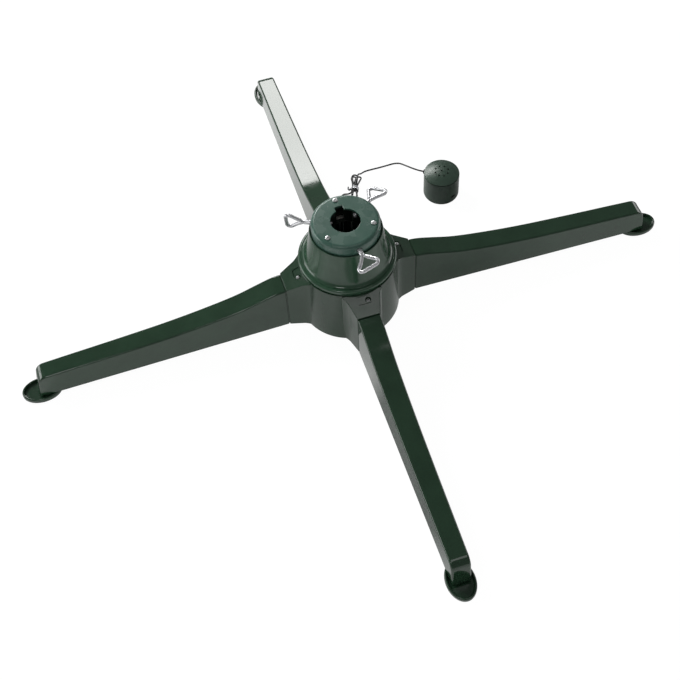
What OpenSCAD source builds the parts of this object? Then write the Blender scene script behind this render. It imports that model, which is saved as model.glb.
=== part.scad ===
// Rotating christmas tree stand: four curved plastic legs on oval feet, a round
// gear housing with a bell-shaped cover, a turning collar that clamps the tree
// pole with three eye bolts, and a small sound box on its own lead.
// Units are millimetres. The stand rests on z = 0 and turns about +Z.
// Legs point along -X (left), +X (right), -Y (near) and +Y (far).

/* [Legs and feet] */
// Distance from the axis to the centre of each foot
foot_r = 401.5; // [400:0.5:403]
// Half length of an oval foot, along its leg
foot_a = 25; // [23:0.5:27]
// Half width of an oval foot
foot_b = 17.3; // [16:0.1:20]
// Width of a leg where it meets its socket
leg_w = 29; // [28:0.1:30.4]
// Width of a leg at its tip
leg_tip_w = 23.4; // [21:0.1:26]
// Wall thickness of the moulded legs
leg_wall = 2.6; // [2:0.1:3.2]

/* [Housing] */
// Outer radius of the gear housing at its lower edge
base_r = 63.1; // [62.5:0.1:63.5]
// Outer radius of the gear housing at its upper edge
base_top_r = 59.7; // [59.4:0.1:60]
// Wall thickness of the housing
base_wall = 3; // [2.8:0.1:3]

/* [Collar and pole clamp] */
// Radius of the pole bore
bore_r = 18; // [16:0.1:18]
// Outer radius of the collar cap
cap_r = 41.75; // [41.4:0.05:42]
// Turn of the collar at rest, as the direction of the key slot
collar_turn = 94; // [0:0.5:360]
// Height of the eye bolts' axes
bolt_z = 162.2; // [162:0.1:162.4]
// Radius of the eye bolts' thread
bolt_r = 2.9; // [2.7:0.05:2.9]
// Radius of the wire that each eye is bent from
wire_r = 2.3; // [2:0.05:2.4]
// Length of an eye along its bolt
eye_len = 21; // [18:0.5:23]
// Half width of an eye
eye_half = 12.5; // [11:0.5:13]

/* [Drive] */
// Backlash taken off each flank of both gears
backlash = 0.06; // [0.04:0.01:0.1]
// Radius of the bearing balls
ball_r = 3; // [3:0.5:3]

/* [Sound box] */
// Distance of the sound box from the axis along X
box_x = 177; // [175:0.5:179]
// Distance of the sound box from the axis along Y
box_y = 142.5; // [141:0.5:144]
// Number of holes in the ring on the lid
lid_holes = 8; // [5:1:10]

/* [Hidden] */
$fn = 64;
green = "#1c3a28";
leg_dirs = [180, 0, 270, 90];       // left, right, near, far
joint_r = 83.2;                     // where a leg meets its socket
base_z = 17;                        // lower edge of the housing
base_top_z = 100;                   // upper edge of the housing
screw_x = 65.25;                    // leg screw, outward along its leg
screw_y = 4.93;                     // leg screw, aside from the leg's middle
screw_z = 93.6;                     // seat of the leg screw's head
foot_h = 7;                         // height of a foot's rim
deck_z = 50;                        // underside of the gear deck
race_z = 53;                        // top of the gear deck, lower ball race
ball_ring = 28;                     // radius of the circle of balls
gear_m = 1.1;                       // module of both gears
ring_teeth = 70;
pinion_teeth = 14;
gear_c = gear_m * (ring_teeth + pinion_teeth) / 2;
post_r = 50.5;                      // circle of the housing's screw posts
cover_dirs = [67.5, 157.5, 202.5, 292.5];
post_dirs = [45, 135, 225, 315];
cap_top = 170.6;
slope = (base_r - base_top_r) / (base_top_z - base_z);
function wall_r(z) = base_r - (z - base_z) * slope;

// smooth curve through points
function mid4(a, b, c, d, t) = 0.5 * ((2 * b) + (c - a) * t + (2 * a - 5 * b + 4 * c - d) * t * t + (3 * b - a - 3 * c + d) * t * t * t);
function pt(p, i) = p[max(0, min(len(p) - 1, i))];
function smooth(p, n) = concat([for (i = [0 : len(p) - 2]) for (k = [0 : n - 1]) mid4(pt(p, i - 1), p[i], p[i + 1], pt(p, i + 2), k / n)], [p[len(p) - 1]]);

module spin(a) { rotate([0, 0, a]) children(); }
// a profile drawn in x and z, as a slab across y
module slab(p, w) { rotate([90, 0, 0]) linear_extrude(height = w, center = true) polygon(p); }
// a solid of revolution about z from a profile in radius and z
module turned(p, n = 96) { rotate_extrude($fn = n) polygon(p); }

// ---- screws ----
// pan head screw, head seat at z = 0, head up, shank down, round recess in the head
module pan_screw(hr, hh, sr, l) {
  color("silver") difference() {
    union() {
      cylinder(r1 = hr, r2 = hr * 0.72, h = hh);
      translate([0, 0, -l]) cylinder(r = sr, h = l + 0.1);
    }
    for (a = [0, 90]) spin(a) translate([-hr * 0.5, -hr * 0.11, hh * 0.45]) cube([hr, hr * 0.22, hh]);
  }
}

// ---- legs ----
leg_top = [[84.4, 85.6], [97, 83.7], [115, 78.1], [143, 69.3], [183, 61.8], [233, 55.1], [293, 50], [353, 45.9], [388, 43.4]];
leg_nose = [[393.5, 42.3], [398, 39.4], [400.6, 35], [402, 29], [404, 18.5], [406, 7]];
leg_curve = smooth(leg_top, 4);
leg_len = 323;
leg_r = 84.4;                       // a groove stays open between joint_r and here

module leg_outer() {
  intersection() {
    slab(concat(leg_curve, leg_nose, [[377, 7], [leg_r, 17.8]]), 60);
    linear_extrude(height = 100) polygon([[joint_r, leg_w / 2], [joint_r + leg_len, leg_tip_w / 2], [joint_r + leg_len, -leg_tip_w / 2], [joint_r, -leg_w / 2]]);
  }
}
module leg_hollow() {
  w = leg_wall;
  intersection() {
    slab(concat([[87, 10], [87, 82.6]], [for (p = leg_curve) if (p[0] > 88) [p[0], p[1] - w]], [[393, 39.5], [396.6, 36.6], [398.6, 31], [400.8, 18.5], [403, 5]]), 60);
    linear_extrude(height = 100) polygon([[joint_r, leg_w / 2 - w], [joint_r + leg_len, leg_tip_w / 2 - w], [joint_r + leg_len, w - leg_tip_w / 2], [joint_r, w - leg_w / 2]]);
  }
}
module leg() {
  color(green) difference() {
    union() {
      difference() { leg_outer(); leg_hollow(); }
      // tip plate, screw post and cross ribs
      intersection() {
        leg_outer();
        union() {
          translate([376, -20, 6]) cube([30, 40, 3.5]);
          translate([391, 0, 6]) cylinder(r = 5.2, h = 40);
          for (x = [140, 200, 260, 320]) translate([x, -20, 24 - (x - 140) * 0.055]) cube([2, 40, 60]);
        }
      }
      // hollow tongue that slides into the housing's socket
      difference() {
        union() {
          translate([58.6, -12.4, 20.6]) cube([85 - 58.6, 24.8, 62.7]);
          translate([joint_r, -13.4, 18.6]) cube([1.6, 26.8, 66.4]);
        }
        translate([57, -9.8, 23.4]) cube([joint_r - 57, 19.6, 57]);
      }
      translate([screw_x, screw_y, 72]) cylinder(r = 3.6, h = 10);
    }
    translate([screw_x, screw_y, 70]) cylinder(r = 1.6, h = 20);
    translate([391, 0, 5]) cylinder(r = 1.75, h = 26);
  }
}
module leg_left() { spin(180) leg(); }
module leg_right() { spin(0) leg(); }
module leg_near() { spin(270) leg(); }
module leg_far() { spin(90) leg(); }
module leg_screws() { for (a = leg_dirs) spin(a) translate([screw_x, screw_y, screw_z]) pan_screw(2.4, 1.5, 1.5, 18); }

// ---- feet ----
function oval(a, b, n = 48) = [for (i = [0 : n - 1]) [foot_r + a * cos(i * 360 / n), b * sin(i * 360 / n)]];
module foot() {
  color(green) difference() {
    union() {
      linear_extrude(height = 0.8) polygon(oval(foot_a - 1.2, foot_b - 1.2));
      translate([0, 0, 0.8]) linear_extrude(height = 1) polygon(oval(foot_a - 0.4, foot_b - 0.4));
      translate([0, 0, 1.8]) linear_extrude(height = 3.6) polygon(oval(foot_a, foot_b));
      translate([0, 0, 5.4]) linear_extrude(height = 1) polygon(oval(foot_a - 0.4, foot_b - 0.4));
      translate([0, 0, 6.4]) linear_extrude(height = foot_h - 6.4) polygon(oval(foot_a - 1.2, foot_b - 1.2));
    }
    difference() {
      translate([0, 0, 2.6]) linear_extrude(height = foot_h) polygon(oval(foot_a - 3.2, foot_b - 3.2));
      translate([391, 0, 0]) cylinder(r = 8, h = foot_h);
    }
    translate([391, 0, -1]) cylinder(r = 2.1, h = 12);
    translate([391, 0, -1]) cylinder(r = 4.2, h = 3.4);
  }
}
module foot_left() { spin(180) foot(); }
module foot_right() { spin(0) foot(); }
module foot_near() { spin(270) foot(); }
module foot_far() { spin(90) foot(); }
module foot_screws() { for (a = leg_dirs) spin(a) translate([391, 0, 2.4]) rotate([180, 0, 0]) pan_screw(3.6, 1.9, 1.65, 22); }

// ---- gear housing with four leg sockets ----
stub_half = [[50, 26.2], [56.6, 25], [58.8, 23.2], [61, 21.7], [64.5, 19.9], [joint_r, leg_w / 2]];
function stub_z(x) = 86.6 + (joint_r - x) * 0.485;   // sloping top of a socket
module stub() {
  difference() {
    intersection() {
      slab([[50, 99.9], [55.8, 99.9], [joint_r, stub_z(joint_r)], [joint_r, 17.4], [50, 17.4]], 80);
      linear_extrude(height = 110) polygon(concat(stub_half, [for (i = [len(stub_half) - 1 : -1 : 0]) [stub_half[i][0], -stub_half[i][1]]]));
    }
    // core pockets beside the socket, open below
    for (s = [-1, 1]) translate([0, 0, 10]) linear_extrude(height = 73) polygon([[59.5, s * 15.4], [59.5, s * 20.2], [64, s * 17.5], [68, s * 16], [68, s * 15.4]]);
  }
}
module base_housing() {
  color(green) difference() {
    union() {
      difference() {
        union() {
          translate([0, 0, base_z]) cylinder(r1 = base_r, r2 = base_top_r, h = base_top_z - base_z, $fn = 128);
          for (a = leg_dirs) spin(a) stub();
        }
        translate([0, 0, base_z - 1]) cylinder(r1 = base_r - base_wall + slope, r2 = base_top_r - base_wall - slope, h = base_top_z - base_z + 2, $fn = 128);
        // socket, and the hollow that keeps its roof to one wall thickness
        for (a = leg_dirs) spin(a) {
          translate([54, -12.7, 20.3]) cube([40, 25.4, 63.3]);
          difference() {
            slab([[54, 83.5], [80.5, 83.5], [80.5, 84.9], [57.5, 95.6], [54, 95.6]], 25.4);
            translate([screw_x, screw_y, 80]) cylinder(r = 4.4, h = 20);
          }
        }
      }
      // posts under the gear deck, joined to the wall by ribs
      for (a = post_dirs) spin(a) {
        translate([post_r, 0, 20]) cylinder(r = 5, h = deck_z - 20);
        translate([post_r + 2, -1.2, 20]) cube([7.8, 2.4, deck_z - 20]);
      }
      // bosses for the bottom cover
      for (a = cover_dirs) spin(a) {
        translate([53.5, 0, 19.8]) cylinder(r = 3.8, h = 18);
        translate([55, -1.2, 19.8]) cube([5.4, 2.4, 18]);
      }
    }
    for (a = post_dirs) spin(a) translate([post_r, 0, 10]) { cylinder(r = 2.1, h = 60); cylinder(r = 3.8, h = 13); }
    for (a = cover_dirs) spin(a) translate([53.5, 0, 10]) cylinder(r = 1.45, h = 24);
    // shallow step and screw counterbore on top of each socket
    for (a = leg_dirs) spin(a) {
      intersection() {
        slab([[60.2, stub_z(60.2) - 0.7], [70, stub_z(70) - 0.7], [70, 110], [60.2, 110]], 16.6);
        cylinder(r = 69.3, h = 120, $fn = 128);
      }
      translate([screw_x, screw_y, screw_z]) cylinder(r = 3.6, h = 12);
      translate([screw_x, screw_y, 80]) cylinder(r = 1.7, h = 20);
    }
    // openings at the back for the mains gland and the sound lead
    spin(122) translate([50, 0, 30]) rotate([0, 90, 0]) cylinder(r = 4.6, h = 20);
    spin(57) translate([50, 0, 27]) rotate([0, 90, 0]) cylinder(r = 3, h = 20);
  }
}
module bottom_cover() {
  color(green) difference() {
    union() {
      translate([0, 0, 17.3]) cylinder(r = 59.4, h = 2.5, $fn = 128);
      for (x = [-42, -18], y = [-12, 12]) translate([x, y, 19]) cylinder(r = 3, h = 7);
    }
    for (a = cover_dirs) spin(a) translate([53.5, 0, 10]) { cylinder(r = 1.8, h = 20); cylinder(r = 3.3, h = 8.8); }
    for (x = [-42, -18], y = [-12, 12]) translate([x, y, 18.6]) cylinder(r = 1, h = 10);
    // cooling slots under the motor
    for (y = [-16 : 8 : 16]) translate([18, y - 1.5, 10]) cube([26, 3, 20]);
  }
}
module bottom_cover_screws() { for (a = cover_dirs) spin(a) translate([53.5, 0, 18.8]) rotate([180, 0, 0]) pan_screw(2.9, 1.4, 1.4, 13); }
module housing_screws() { for (a = post_dirs) spin(a) translate([post_r, 0, 23]) rotate([180, 0, 0]) pan_screw(3.5, 2.4, 1.9, 52); }

// ---- bell-shaped cover ----
bell_out = [[44.2, 155.3], [45, 150], [46, 143], [47.3, 134], [48.8, 126], [50.4, 119], [52, 113.5], [53.6, 110.9], [55.2, 109.7]];
bell_in = [[53.8, 104], [53, 106.4], [51, 109.4], [49.5, 113.2], [47.9, 119], [46.3, 126], [44.8, 134], [44.1, 138.4]];
module bell_cover() {
  bead = [for (a = [110 : -15 : -70]) [57.4 + 3.1 * cos(a), 106.8 + 3.1 * sin(a)]];
  color(green) difference() {
    union() {
      turned(concat([[42.6, 155.3], [43, 156], [43.8, 156]], bell_out, bead,
        [[58.3, 103.4], [58.3, 100], [56.4, 100], [56.4, 94], [53.8, 94]], bell_in,
        [[28.4, 138.4], [28.4, 134], [25.6, 134], [25.6, 146], [28.4, 146], [28.4, 141], [43.2, 141], [42.6, 148]]), 128);
      for (a = post_dirs) spin(a) translate([post_r, 0, race_z]) cylinder(r = 4.5, h = 55.5);
    }
    for (a = post_dirs) spin(a) translate([post_r, 0, race_z - 1]) cylinder(r = 2, h = 30);
  }
}
module upper_bush() {
  color("ivory") turned([[22.06, 134], [25.55, 134], [25.55, 146], [28.4, 146], [28.4, 147.4], [22.06, 147.4]]);
}

// ---- gear deck ----
function motor_ear(s) = [gear_c - 15 + s * 29 * cos(115), s * 29 * sin(115)];
module gear_deck() {
  color("gray") difference() {
    union() {
      translate([0, 0, deck_z]) cylinder(r = 57, h = race_z - deck_z, $fn = 128);
      translate([0, 0, deck_z]) cylinder(r = 12, h = 7);
    }
    translate([0, 0, deck_z - 1]) cylinder(r = 8.06, h = 12);
    for (a = post_dirs) spin(a) translate([post_r, 0, deck_z - 1]) cylinder(r = 2.1, h = 6);
    translate([gear_c, 0, deck_z - 1]) cylinder(r = 5.5, h = 6);
    for (s = [-1, 1]) translate([motor_ear(s)[0], motor_ear(s)[1], deck_z - 1]) cylinder(r = 1.5, h = 3.5);
    // windows that save weight on the far side from the motor
    for (a = [150, 180, 210]) spin(a) translate([44, 0, deck_z - 1]) cylinder(r = 5, h = 6);
  }
}

// ---- turning tube, collar and clamp ----
nut_dirs = [collar_turn + 61, collar_turn + 181, collar_turn - 59];   // left, front, right
screw_dirs = [collar_turn, collar_turn + 120, collar_turn + 240];
module pole_tube() {
  color(green) difference() {
    union() {
      turned([[0, 59.1], [32.3, 59.1], [32.3, 62], [43, 62], [43, 65], [25, 65], [22, 68], [22, 153.5], [38.6, 153.5], [38.6, 156], [22, 156], [22, 168.1], [bore_r + 0.6, 168.1], [bore_r + 0.6, 148], [bore_r, 148], [bore_r, 64], [bore_r - 1, 64], [bore_r - 1, 62], [0, 62]], 128);
      translate([0, 0, 50.6]) cylinder(r = 8, h = 9);
      for (a = screw_dirs) spin(a) translate([33.5, 0, 155]) cylinder(r = 4, h = 13.1);
      for (a = nut_dirs) spin(a) translate([20.5, -7.2, 155]) cube([12.8, 14.4, 13.1]);
    }
    for (a = screw_dirs) spin(a) translate([33.5, 0, 157.5]) cylinder(r = 1.5, h = 12);
    for (a = nut_dirs) spin(a) {
      translate([25.9, -5.1, 157.1]) cube([5.2, 10.2, 12]);
      translate([15, 0, bolt_z]) rotate([0, 90, 0]) cylinder(r = 3.3, h = 22);
    }
    // key slot for the pole's tab
    spin(collar_turn) translate([15, -5, 149.5]) cube([8.4, 10, 30]);
    for (i = [0 : 5]) spin(i * 60 + 30) translate([35, 0, 60]) cylinder(r = 1.3, h = 8);
  }
}
module pole_seat() { color("#222222") turned([[0, 62], [bore_r - 1.2, 62], [bore_r - 1.2, 63.4], [bore_r - 1.8, 64], [0, 64]]); }
module clamp_nuts() {
  color("silver") for (a = nut_dirs) spin(a) difference() {
    translate([26, -5, 157.2]) cube([5, 10, 10]);
    translate([20, 0, bolt_z]) rotate([0, 90, 0]) cylinder(r = bolt_r + 0.05, h = 20);
  }
}
module collar_cap() {
  r = cap_r;
  edge = [for (a = [0 : 15 : 90]) [r - 5 + 5 * cos(a), cap_top - 5 + 5 * sin(a)]];
  inner = [for (a = [90 : -30 : 0]) [r - 5 + 2.5 * cos(a), cap_top - 5 + 2.5 * sin(a)]];
  color(green) difference() {
    turned(concat([[bore_r, cap_top - 2.5], [bore_r, cap_top - 0.5], [bore_r + 0.5, cap_top]], [for (i = [len(edge) - 1 : -1 : 0]) edge[i]], [[r, 153.4], [r - 0.4, 153], [r - 2.5, 153]], [for (i = [len(inner) - 1 : -1 : 0]) inner[i]]), 128);
    for (a = nut_dirs) spin(a) translate([34, 0, bolt_z]) rotate([0, 90, 0]) cylinder(r = 3.5, h = 12);
    for (a = screw_dirs) spin(a) translate([33.5, 0, 165]) cylinder(r = 1.8, h = 10);
    spin(collar_turn) translate([15, -5, 165]) cube([8.4, 10, 10]);
  }
}
module collar_screws() { for (a = screw_dirs) spin(a) translate([33.5, 0, cap_top]) pan_screw(3.2, 1.6, 1.4, 12); }

// an eye bolt: apex of the eye at radius ra, rolled about its own axis
function arc(c, r, a0, a1, n) = [for (i = [0 : n]) [c[0] + r * cos(a0 + (a1 - a0) * i / n), c[1] + r * sin(a0 + (a1 - a0) * i / n), 0]];
module eye_bolt(a, ra, tip, roll) {
  t = atan2(eye_half - 1, eye_len - 1);
  c = 4.2;
  cy = eye_half - c - 0.3;
  loop = concat([[-4, 0, 0], [-1.2, 0, 0], [1, -0.7, 0]], arc([eye_len - c, -cy], c, -90 - t, 0, 5), arc([eye_len - c, cy], c, 0, 90 + t, 5), [[6, 5.1, 0], [3.6, 3.2, 0]]);
  color("silver") spin(a) translate([0, 0, bolt_z]) rotate([roll, 0, 0]) {
    translate([tip + 1, 0, 0]) rotate([0, 90, 0]) cylinder(r = bolt_r, h = ra - tip - 3);
    translate([tip, 0, 0]) rotate([0, 90, 0]) cylinder(r1 = bolt_r - 1, r2 = bolt_r, h = 1);
    translate([ra, 0, 0]) tube(loop, wire_r, 12);
  }
}
module eye_bolt_left() { eye_bolt(nut_dirs[0], 50.4, 16, 80); }
module eye_bolt_front() { eye_bolt(nut_dirs[1], 49.8, 16, 17); }
module eye_bolt_right() { eye_bolt(nut_dirs[2], 47.2, 16.4, -20); }

// ---- ball bearing ----
module ball_cage() {
  color("goldenrod") difference() {
    turned([[24.8, 53.3], [31.2, 53.3], [31.2, 57], [24.8, 57]]);
    for (i = [0 : 11]) spin(i * 30) translate([ball_ring, 0, 52]) cylinder(r = ball_r + 0.1, h = 6, $fn = 32);
  }
}
module bearing_balls() { color("silver") for (i = [0 : 11]) spin(i * 30) translate([ball_ring, 0, race_z + ball_r + 0.05]) sphere(r = ball_r, $fn = 32); }

// ---- gears ----
function roll_off(rb, r) = let(a = acos(min(1, rb / r))) tan(a) * 180 / PI - a;
// outline of an involute gear, a gap at angle 0 when gap is true
function gear_outline(z, m, gap) = let(
    rp = m * z / 2, rb = rp * cos(20), rf = rp - 1.25 * m, rt = rp + 0.75 * m,
    hp = 90 / z - backlash / rp * 180 / PI,
    r0 = max(rb, rf), steps = 4,
    flank = [for (i = [0 : steps]) let(r = r0 + (rt - r0) * i / steps) [r, hp + roll_off(rb, rp) - roll_off(rb, r)]],
    side = rf < rb ? concat([[rf, flank[0][1]]], flank) : flank,
    n = len(side))
  [for (k = [0 : z - 1]) let(c = k * 360 / z + (gap ? 180 / z : 0))
    for (i = [0 : 2 * n - 1]) let(s = i < n ? side[i] : side[2 * n - 1 - i], q = i < n ? -1 : 1)
      s[0] * [cos(c + q * s[1]), sin(c + q * s[1])]];
module drive_gear() {
  color("ivory") difference() {
    translate([0, 0, 55]) linear_extrude(height = 7) polygon(gear_outline(ring_teeth, gear_m, true));
    translate([0, 0, 54]) cylinder(r = 32.5, h = 9);
    for (i = [0 : 5]) spin(i * 60 + 30) translate([35, 0, 57]) cylinder(r = 1.15, h = 8);
  }
}
module drive_gear_screws() { for (i = [0 : 5]) spin(i * 60 + 30) translate([35, 0, 65]) pan_screw(2.4, 1.4, 1.1, 7.5); }
module pinion() {
  color("ivory") difference() {
    translate([gear_c, 0, 54.5]) linear_extrude(height = 7) polygon(gear_outline(pinion_teeth, gear_m, false));
    translate([gear_c, 0, 54]) cylinder(r = 2.5, h = 8);
  }
}
module motor_shaft() { color("silver") translate([gear_c, 0, 41]) cylinder(r = 2.45, h = 20.5); }

// ---- motor ----
module motor() {
  color("silver") difference() {
    union() {
      translate([gear_c - 15, 0, 28]) cylinder(r = 23.8, h = 2);
      translate([gear_c - 15, 0, 29]) cylinder(r = 24.5, h = 21);
      for (s = [-1, 1]) translate([motor_ear(s)[0], motor_ear(s)[1], 48.4]) cylinder(r = 4.2, h = 1.6);
      translate([gear_c - 15, 0, 48.4]) rotate([0, 0, 115]) translate([-29, -4.2, 0]) cube([58, 8.4, 1.6]);
    }
    translate([gear_c, 0, 40]) cylinder(r = 2.55, h = 12);
    for (s = [-1, 1]) translate([motor_ear(s)[0], motor_ear(s)[1], 45]) cylinder(r = 1.7, h = 8);
  }
}
module motor_screws() { for (s = [-1, 1]) translate([motor_ear(s)[0], motor_ear(s)[1], 48.4]) rotate([180, 0, 0]) pan_screw(3, 1.8, 1.4, 3.8); }

// ---- power board ----
module power_board() {
  color("darkgreen") difference() {
    union() {
      translate([-46, -16, 26]) cube([32, 32, 1.6]);
      translate([-31, -5, 27.6]) cube([14, 13, 12]);
      translate([-38, 6, 27.6]) cylinder(r = 4.5, h = 12);
      translate([-44, -8, 27.6]) cube([8, 11, 7]);
    }
    for (x = [-42, -18], y = [-12, 12]) translate([x, y, 25]) cylinder(r = 1.3, h = 4);
  }
}
module power_board_screws() { for (x = [-42, -18], y = [-12, 12]) translate([x, y, 27.6]) pan_screw(2, 1.2, 0.95, 7); }

// ---- swept leads ----
function unit(v) = v / norm(v);
function tangent(p, i) = unit(pt(p, i + 1) - pt(p, i - 1));
function side_of(d) = unit(cross(d, abs(d[2]) > 0.9 ? [1, 0, 0] : [0, 0, 1]));
module tube(p, r, n = 8) {
  m = len(p);
  pts = [for (i = [0 : m - 1]) let(d = tangent(p, i), a = side_of(d), b = cross(d, a)) for (k = [0 : n - 1]) p[i] + r * (cos(k * 360 / n + 22.5) * a + sin(k * 360 / n + 22.5) * b)];
  polyhedron(points = pts, faces = concat(
    [[for (k = [0 : n - 1]) k]],
    [[for (k = [n - 1 : -1 : 0]) (m - 1) * n + k]],
    [for (i = [0 : m - 2]) for (k = [0 : n - 1]) [i * n + (k + 1) % n, i * n + k, (i + 1) * n + k]],
    [for (i = [0 : m - 2]) for (k = [0 : n - 1]) [i * n + (k + 1) % n, (i + 1) * n + k, (i + 1) * n + (k + 1) % n]]));
}
// short wires inside the housing
module inner_leads() {
  color("ivory") {
    tube(smooth([[6, -4, 34], [2, -4.4, 33.6], [-4, -7, 31], [-9, -8.2, 29.2], [-13, -8.2, 28.6], [-15.4, -8.2, 28.4]], 3), 0.8);
    tube(smooth([[6.4, -9, 34], [2, -10, 33.4], [-4, -11.6, 31], [-9, -11.4, 29.4], [-12.4, -10.8, 28.6], [-14.8, -10.4, 28.4]], 3), 0.8);
    tube(smooth([[30.6, 47.2, 27], [26, 41, 27], [18, 33, 26], [6, 26, 25.4], [-6, 21, 26.4], [-14, 17.6, 29.2], [-20.5, 14, 31.6], [-24, 10.6, 32], [-25.4, 7.6, 32]], 3), 1);
  }
}
module mains_gland() {
  color("#222222") spin(122) translate([0, 0, 30]) rotate([0, 90, 0]) difference() {
    union() {
      translate([0, 0, 57]) cylinder(r = 4.5, h = 7);
      translate([0, 0, 57]) cylinder(r = 5.4, h = 1.6);
      translate([0, 0, 63]) cylinder(r = 6.4, h = 2);
      translate([0, 0, 65]) cylinder(r1 = 5.2, r2 = 4, h = 6);
    }
    translate([0, 0, 55]) cylinder(r = 2.6, h = 20);
  }
}
module lead_gland() {
  color("#222222") spin(57) translate([0, 0, 27]) rotate([0, 90, 0]) difference() {
    union() {
      translate([0, 0, 58]) cylinder(r = 2.95, h = 6);
      translate([0, 0, 63]) cylinder(r = 4.4, h = 1.6);
    }
    translate([0, 0, 57]) cylinder(r = 1.2, h = 10);
  }
}

// ---- lead from the stand to the sound box ----
lead_r = 1.1;
from_stand = [[35.2, 54.2, 27], [37, 57, 26.6], [39, 60.2, 24.6], [41, 64, 20], [43, 69, 13], [45, 75, 6.5], [47, 82, 2.4], [48.4, 90, 1.2],
  [48.6, 100, 1.2], [47.4, 112, 1.2], [45.4, 125, 1.2], [43, 138, 1.2], [41.2, 150, 1.2], [40.8, 161, 1.2], [42, 171, 1.2], [45.2, 178, 1.2], [50, 181, 1.2], [55.5, 181.8, 1.2], [60, 182, 1.2]];
to_box = [[73.4, 195.6, 1.2], [75.6, 200.6, 1.2], [78.4, 205.4, 1.2], [82.6, 209.6, 1.2], [89, 212.4, 1.2], [100, 213.2, 1.2], [111, 213, 1.2], [123, 213.2, 1.2], [130, 213.4, 1.2], [135.6, 212.6, 1.4], [139.6, 209.6, 3],
  [141.8, 204, 6.4], [143, 196, 12], [144, 187, 18.6], [145.4, 178, 24.8], [147.6, 169.6, 30], [150.4, 163.6, 33], [153.4, 160.2, 33.9], [156.6, 157.8, 34]];
module lead_from_stand() { color("#111111") tube(smooth(from_stand, 2), lead_r); }
module lead_to_box() { color("#111111") tube(smooth(to_box, 2), lead_r); }
// the lead's spare length, folded into a hank
hank_c = [66.3, 184.5];
hank_a = 69.6;
module lead_hank() {
  color("#111111") translate([hank_c[0], hank_c[1], 0]) spin(hank_a) difference() {
    linear_extrude(height = 6.8) union() {
      for (s = [-1, 1]) translate([s * 19, 0]) circle(r = 7.4);
      translate([-19, -5]) square([38, 10]);
    }
    translate([-1.4, -12, -1]) cube([2.8, 24, 2]);
  }
}
module lead_tie() {
  color("silver") translate([hank_c[0], hank_c[1], 0]) spin(hank_a) {
    difference() {
      translate([-1.3, -5.9, 0]) cube([2.6, 11.8, 7.7]);
      translate([-2, -5, 0.9]) cube([4, 10, 5.9]);
    }
    translate([-1, 5.8, 2]) cube([1, 11, 1.2]);
  }
}

// ---- sound box ----
box_turn = -68;                     // direction of the switch
lead_turn = 143;                    // direction of the lead
module at_box() { translate([box_x, box_y, 0]) children(); }
module sound_case() {
  color(green) at_box() difference() {
    union() {
      difference() {
        turned([[0, 0], [20.6, 0], [22.4, 0.6], [23.5, 1.8], [24, 3.6], [24, 39], [21.9, 39], [21.9, 4.4], [20.4, 2.4], [0, 2.4]]);
        // room for the switch
        spin(box_turn) translate([20, -5.2, 9.4]) cube([2.6, 10.4, 6.4]);
      }
      // ribs that carry the driver, pegs that carry the board
      for (k = [0 : 3]) spin(box_turn + 45 + 90 * k) translate([17.2, -1, 2]) cube([5.2, 2, 32.8]);
      for (k = [0 : 3]) spin(box_turn + 45 + 90 * k) translate([13, 0, 2]) cylinder(r = 2, h = 6);
    }
    spin(box_turn) translate([18, -3.4, 10.8]) cube([10, 6.8, 3]);
    spin(lead_turn) translate([18, 0, 34]) rotate([0, 90, 0]) cylinder(r = 2.2, h = 10);
  }
}
module sound_lid() {
  dome = [for (i = [0 : 8]) let(r = 22.6 * (1 - i / 8)) [r, 44 - 0.0077 * r * r]];
  under = [for (i = [0 : 8]) let(r = 18.4 * i / 8) [r, 42 - 0.0077 * r * r]];
  color(green) at_box() difference() {
    turned(concat([[23.7, 39], [23.7, 39.4]], dome, under, [[18.4, 36.6], [21.8, 36.6], [21.8, 39]]));
    translate([0, 0, 38]) cylinder(r = 1.15, h = 10, $fn = 24);
    for (i = [0 : lid_holes - 1]) spin(i * 360 / lid_holes) translate([9.1, 0, 38]) cylinder(r = 1.15, h = 10, $fn = 24);
  }
}
module sound_driver() { color("#333333") at_box() turned([[0, 21], [9, 21], [9, 28], [10.5, 28], [17, 34.8], [18.3, 34.8], [18.3, 36.6], [16.2, 36.6], [16.2, 35.6], [8.5, 29.4], [0, 29.4]]); }
module sound_cone() { color("#111111") at_box() turned([[0, 29.9], [7, 29.9], [13.6, 35.3], [14.6, 36.6], [15.6, 36.2], [16.1, 36.4], [15.4, 37.2], [14.2, 37.3], [13.2, 36], [6.8, 30.9], [4.6, 31.2], [3, 32.4], [0, 33]]); }
module sound_board() {
  color("darkgreen") at_box() spin(box_turn) {
    translate([-11.6, -11.6, 8]) cube([23.2, 23.2, 1.4]);
    translate([-8, -6, 9.4]) cube([7, 9, 2.4]);
    translate([-6, 8, 9.4]) cylinder(r = 2.5, h = 6);
  }
}
module switch_block() {
  color("silver") at_box() spin(box_turn) difference() {
    translate([11.8, -4.6, 9.4]) cube([8.4, 9.2, 5.6]);
    translate([17.4, -3.3, 10.9]) cube([4, 6.6, 2.8]);
  }
}
module switch_slider() { color("#111111") at_box() spin(box_turn) translate([17.6, -3, 11.1]) cube([7.6, 3, 2.4]); }
module sound_grommet() {
  color("#222222") at_box() spin(lead_turn) translate([0, 0, 34]) rotate([0, 90, 0]) difference() {
    union() {
      translate([0, 0, 21]) cylinder(r = 2.15, h = 4.4);
      translate([0, 0, 24.1]) cylinder(r = 3.2, h = 1.5);
    }
    translate([0, 0, 20]) cylinder(r = 1.2, h = 10);
  }
}

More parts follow.
